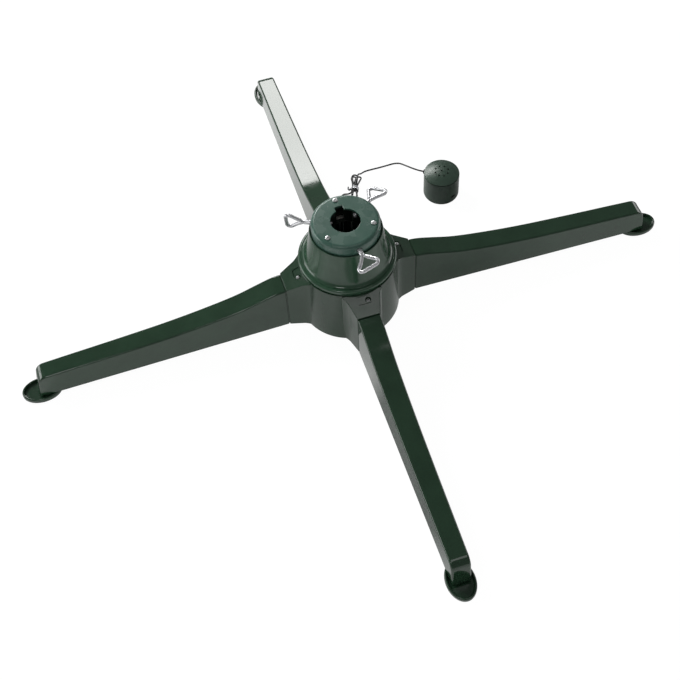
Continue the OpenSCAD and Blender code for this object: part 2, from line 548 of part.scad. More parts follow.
base_housing();
bottom_cover();
bottom_cover_screws();
housing_screws();
bell_cover();
upper_bush();
gear_deck();
leg_left();
leg_right();
leg_near();
leg_far();
leg_screws();
foot_left();
foot_right();
foot_near();
foot_far();
foot_screws();
pole_tube();
pole_seat();
drive_gear();
drive_gear_screws();
clamp_nuts();
collar_cap();
collar_screws();
eye_bolt_left();
eye_bolt_right();
eye_bolt_front();
ball_cage();
bearing_balls();
motor();
motor_screws();
motor_shaft();
pinion();
power_board();
power_board_screws();
inner_leads();
mains_gland();
lead_gland();
sound_case();
sound_lid();
sound_driver();
sound_cone();
sound_board();
switch_block();
switch_slider();
sound_grommet();
lead_from_stand();
lead_hank();
lead_to_box();
lead_tie();
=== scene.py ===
import math

import bmesh
import bpy
import numpy as np
from mathutils import Matrix, Vector


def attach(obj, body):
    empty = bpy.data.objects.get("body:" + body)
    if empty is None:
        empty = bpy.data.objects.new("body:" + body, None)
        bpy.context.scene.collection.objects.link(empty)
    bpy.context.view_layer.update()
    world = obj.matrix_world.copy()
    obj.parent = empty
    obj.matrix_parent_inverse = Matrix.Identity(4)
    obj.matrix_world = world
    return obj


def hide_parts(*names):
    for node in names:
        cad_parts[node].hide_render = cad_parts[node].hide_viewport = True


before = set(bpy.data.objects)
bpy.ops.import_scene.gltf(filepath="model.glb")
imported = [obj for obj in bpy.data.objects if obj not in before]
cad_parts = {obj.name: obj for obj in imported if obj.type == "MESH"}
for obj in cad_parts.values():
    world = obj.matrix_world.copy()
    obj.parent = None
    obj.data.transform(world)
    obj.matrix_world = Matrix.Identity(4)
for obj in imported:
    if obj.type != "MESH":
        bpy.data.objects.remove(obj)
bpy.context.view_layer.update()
scene = bpy.context.scene
MM = 0.001

# ------------------------------------------------------------------ camera
cam_az, cam_el, cam_roll = math.radians(-14.29), math.radians(55.51), math.radians(-3.93)
back = Vector((math.sin(cam_az) * math.cos(cam_el), -math.cos(cam_az) * math.cos(cam_el), math.sin(cam_el)))
right = (-back).cross(Vector((0, 0, 1))).normalized()
up = right.cross(-back).normalized()
right2 = right * math.cos(cam_roll) + up * math.sin(cam_roll)
up2 = -right * math.sin(cam_roll) + up * math.cos(cam_roll)
cam_data = bpy.data.cameras.new("camera")
cam = bpy.data.objects.new("camera", cam_data)
scene.collection.objects.link(cam)
cam.matrix_world = Matrix(((right2.x, up2.x, back.x, -0.24499), (right2.y, up2.y, back.y, -0.89698), (right2.z, up2.z, back.z, 1.27658), (0, 0, 0, 1)))
cam_data.sensor_width = 36
cam_data.lens = 64.71
cam_data.clip_start, cam_data.clip_end = 0.01, 50
scene.camera = cam


# ------------------------------------------------------------------ materials
def nodes_of(name):
    m = bpy.data.materials.new(name)
    m.use_nodes = True
    t = m.node_tree
    t.nodes.clear()
    out = t.nodes.new("ShaderNodeOutputMaterial")
    b = t.nodes.new("ShaderNodeBsdfPrincipled")
    t.links.new(b.outputs[0], out.inputs[0])
    return m, t, b


def noise_of(t, scale, detail=3.0, rough=0.5, vec=None, stretch=None):
    c = t.nodes.new("ShaderNodeTexCoord")
    n = t.nodes.new("ShaderNodeTexNoise")
    n.inputs["Scale"].default_value = scale
    n.inputs["Detail"].default_value = detail
    n.inputs["Roughness"].default_value = rough
    src = c.outputs["Object"]
    if stretch:
        mp = t.nodes.new("ShaderNodeMapping")
        mp.inputs["Scale"].default_value = stretch
        t.links.new(src, mp.inputs["Vector"])
        src = mp.outputs["Vector"]
    t.links.new(src, n.inputs["Vector"])
    return n.outputs["Fac"]


def span(t, src, lo, hi, f0=0.3, f1=0.7):
    r = t.nodes.new("ShaderNodeMapRange")
    r.inputs["From Min"].default_value = f0
    r.inputs["From Max"].default_value = f1
    r.inputs["To Min"].default_value = lo
    r.inputs["To Max"].default_value = hi
    t.links.new(src, r.inputs["Value"])
    return r.outputs["Result"]


def blend_of(t, fac, a, b):
    m = t.nodes.new("ShaderNodeMix")
    m.data_type = "RGBA"
    t.links.new(fac, m.inputs["Factor"])
    for sock, v in ((m.inputs[6], a), (m.inputs[7], b)):
        if isinstance(v, (tuple, list)):
            sock.default_value = (*v, 1)
        else:
            t.links.new(v, sock)
    return m.outputs[2]


def bump_of(t, height, strength, distance, normal=None):
    b = t.nodes.new("ShaderNodeBump")
    b.inputs["Strength"].default_value = strength
    b.inputs["Distance"].default_value = distance
    t.links.new(height, b.inputs["Height"])
    if normal is not None:
        t.links.new(normal, b.inputs["Normal"])
    return b.outputs["Normal"]


def surface(name, dark, light, rough, metal=0.0, patch=30.0, grain=1600.0, grain_depth=0.00002, grain_strength=0.15,
            wave=0.0, wave_scale=25.0, stretch=None, specular=0.5, ior=1.5, coat=0.0, coat_rough=0.1, fleck=None):
    """Moulded, drawn or painted finish: colour drifts in patches, gloss varies, and a fine grain and slow waves stand in relief."""
    m, t, b = nodes_of(name)
    big = noise_of(t, patch, 4.0, 0.55)
    fine = noise_of(t, grain, 2.0, 0.6, stretch=stretch)
    mixed = t.nodes.new("ShaderNodeMath")
    mixed.operation = "MULTIPLY_ADD"
    t.links.new(fine, mixed.inputs[0])
    mixed.inputs[1].default_value = 0.35
    t.links.new(span(t, big, 0.0, 0.65), mixed.inputs[2])
    col = blend_of(t, mixed.outputs[0], dark, light)
    if fleck:
        v = noise_of(t, fleck[0], 2.0, 0.7)
        col = blend_of(t, span(t, v, 0.0, fleck[2], 0.62, 0.7), col, fleck[1])
    t.links.new(col, b.inputs["Base Color"])
    t.links.new(span(t, noise_of(t, patch * 3.1, 3.0), rough[0], rough[1]), b.inputs["Roughness"])
    b.inputs["Metallic"].default_value = metal
    b.inputs["IOR"].default_value = ior
    b.inputs["Specular IOR Level"].default_value = specular
    if coat:
        b.inputs["Coat Weight"].default_value = coat
        b.inputs["Coat Roughness"].default_value = coat_rough
    n = bump_of(t, fine, grain_strength, grain_depth)
    if wave:
        n = bump_of(t, noise_of(t, wave_scale, 1.0, 0.4), 1.0, wave, n)
    t.links.new(n, b.inputs["Normal"])
    return m


G0, G1 = (0.0150, 0.0395, 0.0212), (0.0225, 0.0560, 0.0305)
M = {}
M["leg"] = surface("green_leg", G0, G1, (0.05, 0.09), grain_strength=0.06, wave=0.00006, wave_scale=22)
M["foot"] = surface("green_foot", G0, G1, (0.14, 0.22), grain_strength=0.08, wave=0.00003, wave_scale=60)
M["hub"] = surface("green_housing", G0, G1, (0.14, 0.22), grain_strength=0.10, wave=0.00004, wave_scale=40)
M["bell"] = surface("green_bell", (0.0250, 0.0640, 0.0360), (0.0370, 0.0930, 0.0530), (0.10, 0.16), grain_strength=0.10, wave=0.00005, wave_scale=35)
M["cap"] = surface("green_cap", (0.0330, 0.0860, 0.0660), (0.0640, 0.1420, 0.1080), (0.20, 0.34), patch=20, grain_strength=0.16, wave=0.00008, wave_scale=45)
M["box"] = surface("green_box", (0.0270, 0.0550, 0.0370), (0.0360, 0.0710, 0.0480), (0.28, 0.38), patch=60, grain_strength=0.03, wave=0.00002, wave_scale=70)
M["tube"] = surface("green_tube", (0.0035, 0.009, 0.005), (0.006, 0.014, 0.008), (0.35, 0.5), patch=60, grain_strength=0.2)
M["bright"] = surface("bright_zinc", (0.56, 0.57, 0.59), (0.70, 0.70, 0.72), (0.20, 0.30), metal=0.65, patch=160, grain=2600, stretch=(1, 1, 0.2), grain_strength=0.18, grain_depth=0.00003)
M["zinc"] = surface("zinc_steel", (0.46, 0.47, 0.48), (0.70, 0.71, 0.71), (0.22, 0.38), metal=1.0, patch=260, grain=3200, grain_strength=0.2)
M["dull"] = surface("dull_zinc", (0.26, 0.27, 0.27), (0.44, 0.45, 0.45), (0.35, 0.50), metal=0.6, patch=260, grain=3200, grain_strength=0.3)
M["deck"] = surface("galvanised_plate", (0.42, 0.44, 0.46), (0.66, 0.67, 0.69), (0.30, 0.50), metal=1.0, patch=110, grain=900, grain_strength=0.1)
M["nylon"] = surface("white_nylon", (0.70, 0.68, 0.62), (0.84, 0.82, 0.76), (0.38, 0.50), patch=80, grain_strength=0.2)
M["brass"] = surface("pressed_brass", (0.62, 0.44, 0.16), (0.78, 0.60, 0.28), (0.24, 0.36), metal=1.0, patch=120, grain=1800)
M["rubber"] = surface("black_rubber", (0.012, 0.012, 0.012), (0.026, 0.026, 0.025), (0.55, 0.72), patch=140, grain=1400, grain_strength=0.5, grain_depth=0.00006, specular=0.35)
M["lead"] = surface("lead_jacket", (0.010, 0.011, 0.012), (0.020, 0.021, 0.022), (0.32, 0.42), patch=220, grain=2600, grain_strength=0.2)
M["wire"] = surface("wire_jacket", (0.55, 0.55, 0.52), (0.72, 0.71, 0.68), (0.4, 0.5), patch=220, grain=2600)
M["foil"] = surface("tie_foil", (0.36, 0.37, 0.39), (0.56, 0.56, 0.58), (0.25, 0.42), metal=0.8, patch=420, grain=2600, grain_strength=0.5, grain_depth=0.00008)
M["black"] = surface("black_plastic", (0.010, 0.010, 0.010), (0.022, 0.022, 0.022), (0.30, 0.42), patch=150, grain_strength=0.3)
M["paper"] = surface("paper_cone", (0.020, 0.019, 0.018), (0.045, 0.043, 0.040), (0.75, 0.92), patch=260, grain=1200, grain_strength=0.8, grain_depth=0.0001, specular=0.2)


def board_material(name, top, parts, metal_part):
    """Circuit board: solder mask with fine copper runs on the plate, darker mouldings above its top face."""
    m, t, b = nodes_of(name)
    c = t.nodes.new("ShaderNodeTexCoord")
    w = t.nodes.new("ShaderNodeTexBrick")
    w.inputs["Scale"].default_value = 140
    w.inputs["Mortar Size"].default_value = 0.035
    w.inputs["Color1"].default_value = (0.010, 0.085, 0.035, 1)
    w.inputs["Color2"].default_value = (0.014, 0.105, 0.045, 1)
    w.inputs["Mortar"].default_value = (0.05, 0.20, 0.09, 1)
    t.links.new(c.outputs["Object"], w.inputs["Vector"])
    sep = t.nodes.new("ShaderNodeSeparateXYZ")
    t.links.new(c.outputs["Object"], sep.inputs[0])
    hi = t.nodes.new("ShaderNodeMath")
    hi.operation = "GREATER_THAN"
    hi.inputs[1].default_value = top
    t.links.new(sep.outputs["Z"], hi.inputs[0])
    grain = noise_of(t, 900, 3.0)
    part = blend_of(t, grain, parts, metal_part)
    t.links.new(blend_of(t, hi.outputs[0], w.outputs["Color"], part), b.inputs["Base Color"])
    t.links.new(span(t, grain, 0.25, 0.5), b.inputs["Roughness"])
    t.links.new(bump_of(t, w.outputs["Fac"], 0.4, 0.00005), b.inputs["Normal"])
    return m


M["board"] = board_material("power_board", 0.0277, (0.06, 0.05, 0.035), (0.16, 0.13, 0.07))
M["chip"] = board_material("sound_board", 0.0095, (0.012, 0.012, 0.012), (0.05, 0.05, 0.05))


# ------------------------------------------------------------------ mesh helpers (millimetres)
def mid4(a, b, c, d, t):
    return 0.5 * ((2 * b) + (c - a) * t + (2 * a - 5 * b + 4 * c - d) * t * t + (3 * b - a - 3 * c + d) * t ** 3)


def smooth(p, n):
    p = [np.array(q, float) for q in p]
    g = lambda i: p[max(0, min(len(p) - 1, i))]
    out = []
    for i in range(len(p) - 1):
        for k in range(n):
            out.append(mid4(g(i - 1), p[i], p[i + 1], g(i + 2), k / n))
    out.append(p[-1])
    return out


def arc(cx, cz, r, a0, a1, n):
    return [(cx + r * math.cos(math.radians(a0 + (a1 - a0) * i / n)), cz + r * math.sin(math.radians(a0 + (a1 - a0) * i / n))) for i in range(n + 1)]


def rounded(poly, radii, n=4):
    """Closed 2-D outline with its corners replaced by arcs; radii is one number or one per corner."""
    out, m = [], len(poly)
    for i in range(m):
        r = radii[i] if isinstance(radii, (list, tuple)) else radii
        p = np.array(poly[i], float)
        if r <= 0:
            out.append(tuple(p))
            continue
        a = np.array(poly[i - 1], float) - p
        b = np.array(poly[(i + 1) % m], float) - p
        la, lb = np.linalg.norm(a), np.linalg.norm(b)
        a, b = a / la, b / lb
        cosw = float(np.clip(a @ b, -1, 1))
        half = math.acos(cosw) / 2
        if half > math.radians(88.5):
            out.append(tuple(p))
            continue
        t = min(r / math.tan(half), la * 0.49, lb * 0.49)
        rr = t * math.tan(half)
        c = p + (a + b) / np.linalg.norm(a + b) * (rr / math.sin(half))
        s, e = p + a * t - c, p + b * t - c
        a0, a1 = math.atan2(s[1], s[0]), math.atan2(e[1], e[0])
        d = (a1 - a0 + math.pi) % (2 * math.pi) - math.pi
        for k in range(n + 1):
            out.append((c[0] + rr * math.cos(a0 + d * k / n), c[1] + rr * math.sin(a0 + d * k / n)))
    return out


def rev(profile, seg=96):
    """Solid of revolution about z from a closed profile of (radius, z)."""
    v, f, rings = [], [], []
    for r, z in profile:
        if abs(r) < 1e-6:
            rings.append([len(v)])
            v.append((0, 0, z))
        else:
            rings.append(list(range(len(v), len(v) + seg)))
            v += [(r * math.cos(2 * math.pi * k / seg), r * math.sin(2 * math.pi * k / seg), z) for k in range(seg)]
    n = len(rings)
    for i in range(n):
        a, b = rings[i], rings[(i + 1) % n]
        if len(a) == 1 and len(b) == 1:
            continue
        for k in range(seg):
            j = (k + 1) % seg
            if len(a) == 1:
                f.append((a[0], b[k], b[j]))
            elif len(b) == 1:
                f.append((a[k], a[j], b[0]))
            else:
                f.append((a[k], a[j], b[j], b[k]))
    return v, f


def loft(rings, caps=(True, True), closed=False):
    """Surface through closed rings of equal count, with flat ends."""
    v, f = [], []
    n = len(rings[0])
    for r in rings:
        v += [tuple(p) for p in r]
    m = len(rings)
    for i in range(m if closed else m - 1):
        a, b = i * n, ((i + 1) % m) * n
        for k in range(n):
            j = (k + 1) % n
            f.append((a + k, a + j, b + j, b + k))
    if not closed:
        if caps[0]:
            f.append(tuple(range(n - 1, -1, -1)))
        if caps[1]:
            f.append(tuple((m - 1) * n + k for k in range(n)))
    return v, f


def prism(poly, z0, z1):
    return loft([[(x, y, z0) for x, y in poly], [(x, y, z1) for x, y in poly]])


def block(x0, x1, y0, y1, z0, z1, c=0.0):
    if c <= 0:
        return prism([(x0, y0), (x1, y0), (x1, y1), (x0, y1)], z0, z1)
    base = lambda e: rounded([(x0 + e, y0 + e), (x1 - e, y0 + e), (x1 - e, y1 - e), (x0 + e, y1 - e)], max(c - e, 0.02), 3)
    steps = [(1.0, 0.0), (0.3, 0.3), (0.0, 1.0)]
    rings = [[(x, y, z0 + c * h) for x, y in base(c * e)] for e, h in steps]
    rings += [[(x, y, z1 - c * h) for x, y in base(c * e)] for e, h in reversed(steps)]
    return loft(rings)


def rod(r0, r1, z0, z1, seg=48):
    return loft([[(r * math.cos(2 * math.pi * k / seg), r * math.sin(2 * math.pi * k / seg), z) for k in range(seg)] for r, z in ((r0, z0), (r1, z1))])


def pipe(ro, ri, z0, z1, seg=48, c=0.3):
    return rev([(ri, z0 + c * 0.5), (ri + c * 0.5, z0), (ro - c, z0), (ro, z0 + c), (ro, z1 - c), (ro - c, z1), (ri + c * 0.5, z1), (ri, z1 - c * 0.5)], seg)


def put(part, matrix):
    v, f = part
    return [tuple(matrix @ Vector(p)) for p in v], f


def spin(part, deg):
    return put(part, Matrix.Rotation(math.radians(deg), 4, "Z"))


def shift(part, x=0, y=0, z=0):
    return put(part, Matrix.Translation((x, y, z)))


def along_x(part):
    return put(part, Matrix.Rotation(math.radians(90), 4, "Y"))


def join(*parts):
    v, f = [], []
    for pv, pf in parts:
        o = len(v)
        v += list(pv)
        f += [tuple(i + o for i in q) for q in pf]
    return v, f


def raw(name, part):
    v, f = part
    me = bpy.data.meshes.new(name)
    me.from_pydata([(x * MM, y * MM, z * MM) for x, y, z in v], [], f)
    me.update()
    bm = bmesh.new()
    bm.from_mesh(me)
    bmesh.ops.remove_doubles(bm, verts=bm.verts, dist=2e-7)
    bmesh.ops.dissolve_degenerate(bm, edges=bm.edges, dist=1e-8)
    bmesh.ops.recalc_face_normals(bm, faces=bm.faces)
    bm.to_mesh(me)
    bm.free()
    ob = bpy.data.objects.new(name, me)
    scene.collection.objects.link(ob)
    return ob


def boolean(ob, part, op="DIFFERENCE"):
    cutter = raw("cutter", part)
    mod = ob.modifiers.new("cut", "BOOLEAN")
    mod.operation = op
    mod.solver = "EXACT"
    mod.object = cutter
    bpy.context.view_layer.update()
    dg = bpy.context.evaluated_depsgraph_get()
    me = bpy.data.meshes.new_from_object(ob.evaluated_get(dg))
    ob.modifiers.clear()
    old = ob.data
    ob.data = me
    bpy.data.meshes.remove(old)
    cm = cutter.data
    bpy.data.objects.remove(cutter)
    bpy.data.meshes.remove(cm)
    return ob


def finish_piece(ob, mat, body, replaces=(), sharp=33, weighted=True):
    me = ob.data
    me.materials.clear()
    me.materials.append(mat)
    for p in me.polygons:
        p.material_index = 0
    me.shade_smooth()
    me.set_sharp_from_angle(angle=math.radians(sharp))
    if weighted:
        w = ob.modifiers.new("weighted", "WEIGHTED_NORMAL")
        w.keep_sharp = True
        w.weight = 50
    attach(ob, body)
    if replaces:
        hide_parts(*replaces)
    return ob


def piece(name, part, mat, body, replaces=(), sharp=33, weighted=True):
    return finish_piece(raw(name, part), mat, body, replaces, sharp, weighted)


def unit(v):
    return v / np.linalg.norm(v)


def sweep(path, section, twist=None, closed=False, ref=None):
    """Sweeps a closed 2-D section along a 3-D path with a carried frame. section is a list of (a, b), or a function of the index."""
    p = [np.array(q, float) for q in path]
    m = len(p)
    tang = []
    for i in range(m):
        if closed:
            tang.append(unit(p[(i + 1) % m] - p[i - 1]))
        else:
            tang.append(unit(p[min(i + 1, m - 1)] - p[max(i - 1, 0)]))
    a = np.array(ref if ref is not None else (0, 0, 1.0), float)
    if abs(a @ tang[0]) > 0.95:
        a = np.array((1.0, 0, 0))
    a = unit(a - (a @ tang[0]) * tang[0])
    rings = []
    for i in range(m):
        a = unit(a - (a @ tang[i]) * tang[i])
        b = np.cross(tang[i], a)
        s = section(i) if callable(section) else section
        w = twist(i) if twist else 0.0
        c, sn = math.cos(w), math.sin(w)
        rings.append([tuple(p[i] + (x * c - y * sn) * a + (x * sn + y * c) * b) for x, y in s])
    return loft(rings, closed=closed)


def circle(r, n=16):
    return [(r * math.cos(2 * math.pi * k / n), r * math.sin(2 * math.pi * k / n)) for k in range(n)]


# ------------------------------------------------------------------ lead: one line from the housing through the hank to the box
LEAD_R = 1.1
from_stand = [[35.2, 54.2, 27], [37, 57, 26.6], [39, 60.2, 24.6], [41, 64, 20], [43, 69, 13], [45, 75, 6.5], [47, 82, 2.4], [48.4, 90, 1.2],
              [48.6, 100, 1.2], [47.4, 112, 1.2], [45.4, 125, 1.2], [43, 138, 1.2], [41.2, 150, 1.2], [40.8, 161, 1.2], [42, 171, 1.2], [44.8, 178.8, 1.2], [49.6, 182.2, 1.2]]
to_box = [[100, 213.2, 1.2], [111, 213, 1.2], [123, 213.2, 1.2], [130, 213.4, 1.2], [135.6, 212.6, 1.4], [139.6, 209.6, 3],
          [141.8, 204, 6.4], [143, 196, 12], [144, 187, 18.6], [145.4, 178, 24.8], [147.6, 169.6, 30], [150.4, 163.6, 33], [153.4, 160.2, 33.9], [156.6, 157.8, 34]]
HANK_C, HANK_A = (66.3, 184.5), math.radians(69.6)


def hank_point(u, v, z):
    c, s = math.cos(HANK_A), math.sin(HANK_A)
    return [HANK_C[0] + u * c - v * s, HANK_C[1] + u * s + v * c, z]


def hank_half(side, tie_in, tie_out, uc, r, z, lean):
    """One end loop of the hank: out from the tie, round the end, and back to the tie. side is +1 at the far end."""
    (v0, z0), (v1, z1) = tie_in, tie_out
    s0 = 1 if v0 > v1 else -1
    pts = [(side * 2.6, v0, z0), (side * (uc * 0.36), s0 * (abs(v0) * 0.55 + r * 0.30), (z0 + z) / 2), (side * (uc * 0.70), s0 * r * 0.84, z)]
    for a in (90, 60, 30, 0, -30, -60, -90):
        pts.append((side * (uc + r * math.cos(math.radians(a))), s0 * r * math.sin(math.radians(a)), z))
    pts += [(side * (uc * 0.70), -s0 * r * 0.84, z), (side * (uc * 0.36), -s0 * (abs(v1) * 0.55 + r * 0.30), (z1 + z) / 2), (side * 2.6, v1, z1)]
    return [(u, v + lean * (max(abs(u) - 2.6, 0) / 18) ** 1.2, z) for u, v, z in pts]


hank = []
# far end centre, far radius, near end centre, near radius, height, place of its two strands at the tie, lean of its far and near ends
loops = [(20.8, 3.6, 13.8, 3.6, 1.2, 3.4, 1.2, 2.0, 0.3), (18.8, 3.6, 13.4, 3.6, 3.5, 2.4, 3.5, -4.4, -0.4), (20.2, 3.6, 13.6, 3.6, 5.8, 1.5, 5.8, 0.9, 0.1)]
for k, (uf, rf, un, rn, z, vt, zt, far_lean, near_lean) in enumerate(loops):
    hank += hank_half(1, (vt, zt), (-vt, zt), uf, rf, z, far_lean)
    nxt = loops[k + 1] if k + 1 < len(loops) else None
    v2, z2 = (nxt[5], nxt[6]) if nxt else (0.2, 7.4)
    hank += hank_half(-1, (-vt, zt), (v2, z2), un, rn, z, near_lean)
hank3 = [hank_point(*q) for q in hank]
leave = [hank_point(7, -0.4, 8.0), hank_point(13, -1.4, 8.2), hank_point(18.5, -2.6, 8.2), hank_point(23.6, -4.0, 7.6), hank_point(28.0, -7.6, 4.4)]
lead_points = smooth(from_stand + [hank_point(-6.8, 8.4, 1.2), hank_point(-3.6, 4.6, 1.2)] + hank3 + leave + [[90, 212.8, 1.3]] + to_box, 5)
lead_points = [np.array([p[0], p[1], max(p[2], 1.15)]) for p in lead_points]
cu = bpy.data.curves.new("sound_lead", "CURVE")
cu.dimensions = "3D"
cu.bevel_depth = LEAD_R * MM
cu.bevel_resolution = 4
cu.use_fill_caps = True
sp = cu.splines.new("POLY")
sp.points.add(len(lead_points) - 1)
for q, p in zip(sp.points, lead_points):
    q.co = (p[0] * MM, p[1] * MM, p[2] * MM, 1)
sp.use_smooth = True
cu.materials.append(M["lead"])
lead = bpy.data.objects.new("sound_lead", cu)
scene.collection.objects.link(lead)
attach(lead, "root")
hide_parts("lead_from_stand", "lead_hank", "lead_to_box")

# twist tie: a flat wire-cored strip wound twice round the hank, its two ends twisted together
tie_parts = []


def tie_wrap(u0, tilt, grow):
    out = rounded([(-4.9 - grow, -0.0), (4.9 + grow, -0.0), (3.6 + grow, 7.2 + grow), (-3.6 - grow, 7.2 + grow)], 2.2, 5)
    pts = []
    for i, (v, z) in enumerate(out):
        pts.append(hank_point(u0 + tilt * v * 0.16, v, max(z, 0.25)))
    return sweep(pts, rounded([(-0.22, -1.05), (0.22, -1.05), (0.22, 1.05), (-0.22, 1.05)], 0.18, 2), closed=True, ref=(math.cos(HANK_A), math.sin(HANK_A), 0.01))


def tie_ref_section(w, h):
    return rounded([(-w, -h), (w, -h), (w, h), (-w, h)], min(w, h) * 0.7, 2)


for u0, tilt, grow in ((-0.9, 1, 0.0), (1.0, -1, 0.3)):
    ring = rounded([(-5.0 - grow, 0.25), (5.0 + grow, 0.25), (4.6 + grow, 4.8), (2.6, 8.3 + grow), (-2.6, 8.3 + grow), (-4.6 - grow, 4.8)], 1.5, 4)
    pts = [hank_point(u0 + tilt * v * 0.14, v, z) for v, z in ring]
    tie_parts.append(sweep(pts, tie_ref_section(1.15, 0.24), closed=True, ref=(math.cos(HANK_A), math.sin(HANK_A), 0.0)))
tail = smooth([hank_point(0, 4.9, 4.4), hank_point(-1.2, 6.4, 4.0), hank_point(-2.2, 7.8, 4.2), hank_point(-2.2, 8.8, 5.4), hank_point(-1.4, 9.2, 7.0)], 8)
for s in (0, 1):
    off = []
    for i, p in enumerate(tail):
        a = i / 5.0 * math.pi + s * math.pi
        w = 0.55 if i < len(tail) - 9 else 0.55 + (i - len(tail) + 9) * 0.16
        off.append(np.array(p) + np.array([math.cos(HANK_A) * math.cos(a) * w, math.sin(HANK_A) * math.cos(a) * w, math.sin(a) * w]))
    tie_parts.append(sweep(off, tie_ref_section(1.0, 0.22), twist=lambda i: i / 5.0 * math.pi, ref=(math.cos(HANK_A), math.sin(HANK_A), 0)))
tie = piece("hank_tie", join(*tie_parts), M["foil"], "root", ("lead_tie",), sharp=50)

# ------------------------------------------------------------------ legs
leg_dirs = {"left": 180, "right": 0, "near": 270, "far": 90}
leg_top = [[84.4, 85.6], [97, 83.7], [115, 78.1], [143, 69.3], [183, 61.8], [233, 55.1], [293, 50], [353, 45.9], [388, 43.4]]
LEG_WALL, FIL = 2.6, 2.6
SX, SY, SZ = 65.25, 4.93, 93.6   # leg screw: outward, aside, seat height


def leg_w(x):
    return 14.5 - (x - 83.2) * 2.8 / 323


def leg_bottom(x):
    return 17.8 - (x - 83.2) * 10.8 / 293.8 if x < 377 else 7.0


def leg_part():
    top = [p for p in smooth(leg_top, 6) if p[0] < 388.6]
    d1, d2 = unit(np.array([35, -2.5])), unit(np.array([4, -22.0]))
    corner = np.array([399.5, 42.6])
    R, turn = 12.5, math.acos(float(d1 @ d2))
    t = R * math.tan(turn / 2)
    p1, p2 = corner - d1 * t, corner + d2 * t
    n1 = np.array([d1[1], -d1[0]])
    c = p1 + n1 * R
    a0 = math.atan2(*(p1 - c)[::-1])
    nose = [c + R * np.array([math.cos(a0 - turn * i / 14), math.sin(a0 - turn * i / 14)]) for i in range(15)]
    tip = np.array([406.0, 7.0])
    face = [p2 + (tip - p2) * k / 5 for k in range(1, 6)]
    curve = [np.array([84.4, 85.2])] + [np.array([84.85, 85.53])] + [p for p in top[1:] if p[0] < p1[0] - 2] + nose + face
    m = len(curve)
    seg = 6
    outer, inner = [], []
    for i, p in enumerate(curve):
        d = unit(curve[min(i + 1, m - 1)] - curve[max(i - 1, 0)])
        n = np.array([d[1], -d[0]])
        if i < 2:
            n = np.array([0.0, -1.0])
        if i == m - 1:
            n = np.array([-1.0, 0.0])
        shrink = 0.4 if i == 0 else 0.0
        for rings, wall, fil, rim in ((outer, 0.0, FIL, 0.5), (inner, LEG_WALL, 0.9, 0.2)):
            q = p + n * wall
            if wall and q[0] < 87.0:
                q = np.array([87.0, 82.4])
            if i == m - 1:
                q[1] = 7.0
            w = leg_w(q[0]) - wall - shrink
            o = q + n * fil
            if i == m - 1:
                o[1] = 7.0
            zb = leg_bottom(o[0])
            zr = min(zb + rim * 1.2, o[1])
            half = [(o[0], w - rim, zb), (o[0], w, zr)]
            for k in range(seg + 1):
                a = math.radians(90 * k / seg)
                s = q + n * fil * (1 - math.sin(a))
                if i == m - 1:
                    s[1] = 7.0
                half.append((s[0], (w - fil) + fil * math.cos(a), s[1]))
            rings.append([(x, -y, z) for x, y, z in half] + [(x, y, z) for x, y, z in reversed(half)])
    n = len(outer[0])
    v, f = [], []
    for r in outer + inner:
        v += r
    io = lambda i, k: i * n + k
    ii = lambda i, k: (m + i) * n + k
    for i in range(m - 1):
        for k in range(n - 1):
            f.append((io(i, k), io(i, k + 1), io(i + 1, k + 1), io(i + 1, k)))
            f.append((ii(i, k), ii(i + 1, k), ii(i + 1, k + 1), ii(i, k + 1)))
        f.append((io(i, 0), io(i + 1, 0), ii(i + 1, 0), ii(i, 0)))
        f.append((io(i, n - 1), ii(i, n - 1), ii(i + 1, n - 1), io(i + 1, n - 1)))
    for k in range(n - 1):
        f.append((io(m - 1, k), io(m - 1, k + 1), ii(m - 1, k + 1), ii(m - 1, k)))
    f.append(tuple(io(0, k) for k in range(n)))
    f.append(tuple(ii(0, k) for k in reversed(range(n))))
    f.append((io(0, 0), ii(0, 0), ii(0, n - 1), io(0, n - 1)))
    shell = (v, f)
    zc = lambda x: float(np.interp(x, [q[0] for q in curve[:40]], [q[1] for q in curve[:40]]))
    extra = []
    for x in (140, 200, 260, 320):
        w = leg_w(x) - 1.2
        extra.append(block(x, x + 2, -w, w, 24 - (x - 140) * 0.055, zc(x + 2) - 1.2, 0.3))
    extra.append(block(376, 403.6, -leg_w(390) + 1.2, leg_w(390) - 1.2, 7.02, 9.5, 0.25))
    extra.append(shift(pipe(5.2, 1.75, 7.04, 41.5), 391))
    extra.append(shift(pipe(3.6, 1.45, 72, 82), SX, SY))
    extra.append(block(83.2, 86.0, -13.4, 13.4, 18.6, 84.4))
    # tongue: a hollow bar that goes into the socket
    o = rounded([(-12.4, 20.6), (12.4, 20.6), (12.4, 83.3), (-12.4, 83.3)], 1.0, 3)
    i_ = rounded([(-9.8, 23.4), (9.8, 23.4), (9.8, 80.4), (-9.8, 80.4)], 0.8, 3)
    ring = lambda pl, x, e=0.0: [(x, y * (1 - e / 12), 52 + (z - 52) * (1 - e / 30)) for y, z in pl]
    extra.append(loft([ring(o, 83.6), ring(o, 59.4), ring(o, 58.6, 0.5), ring(i_, 58.6), ring(i_, 83.5)], closed=True))
    return join(shell, *extra)


LEG = leg_part()
for side, a in leg_dirs.items():
    piece("leg_" + side + "_shell", spin(LEG, a), M["leg"], "root", ("leg_" + side,), sharp=30)


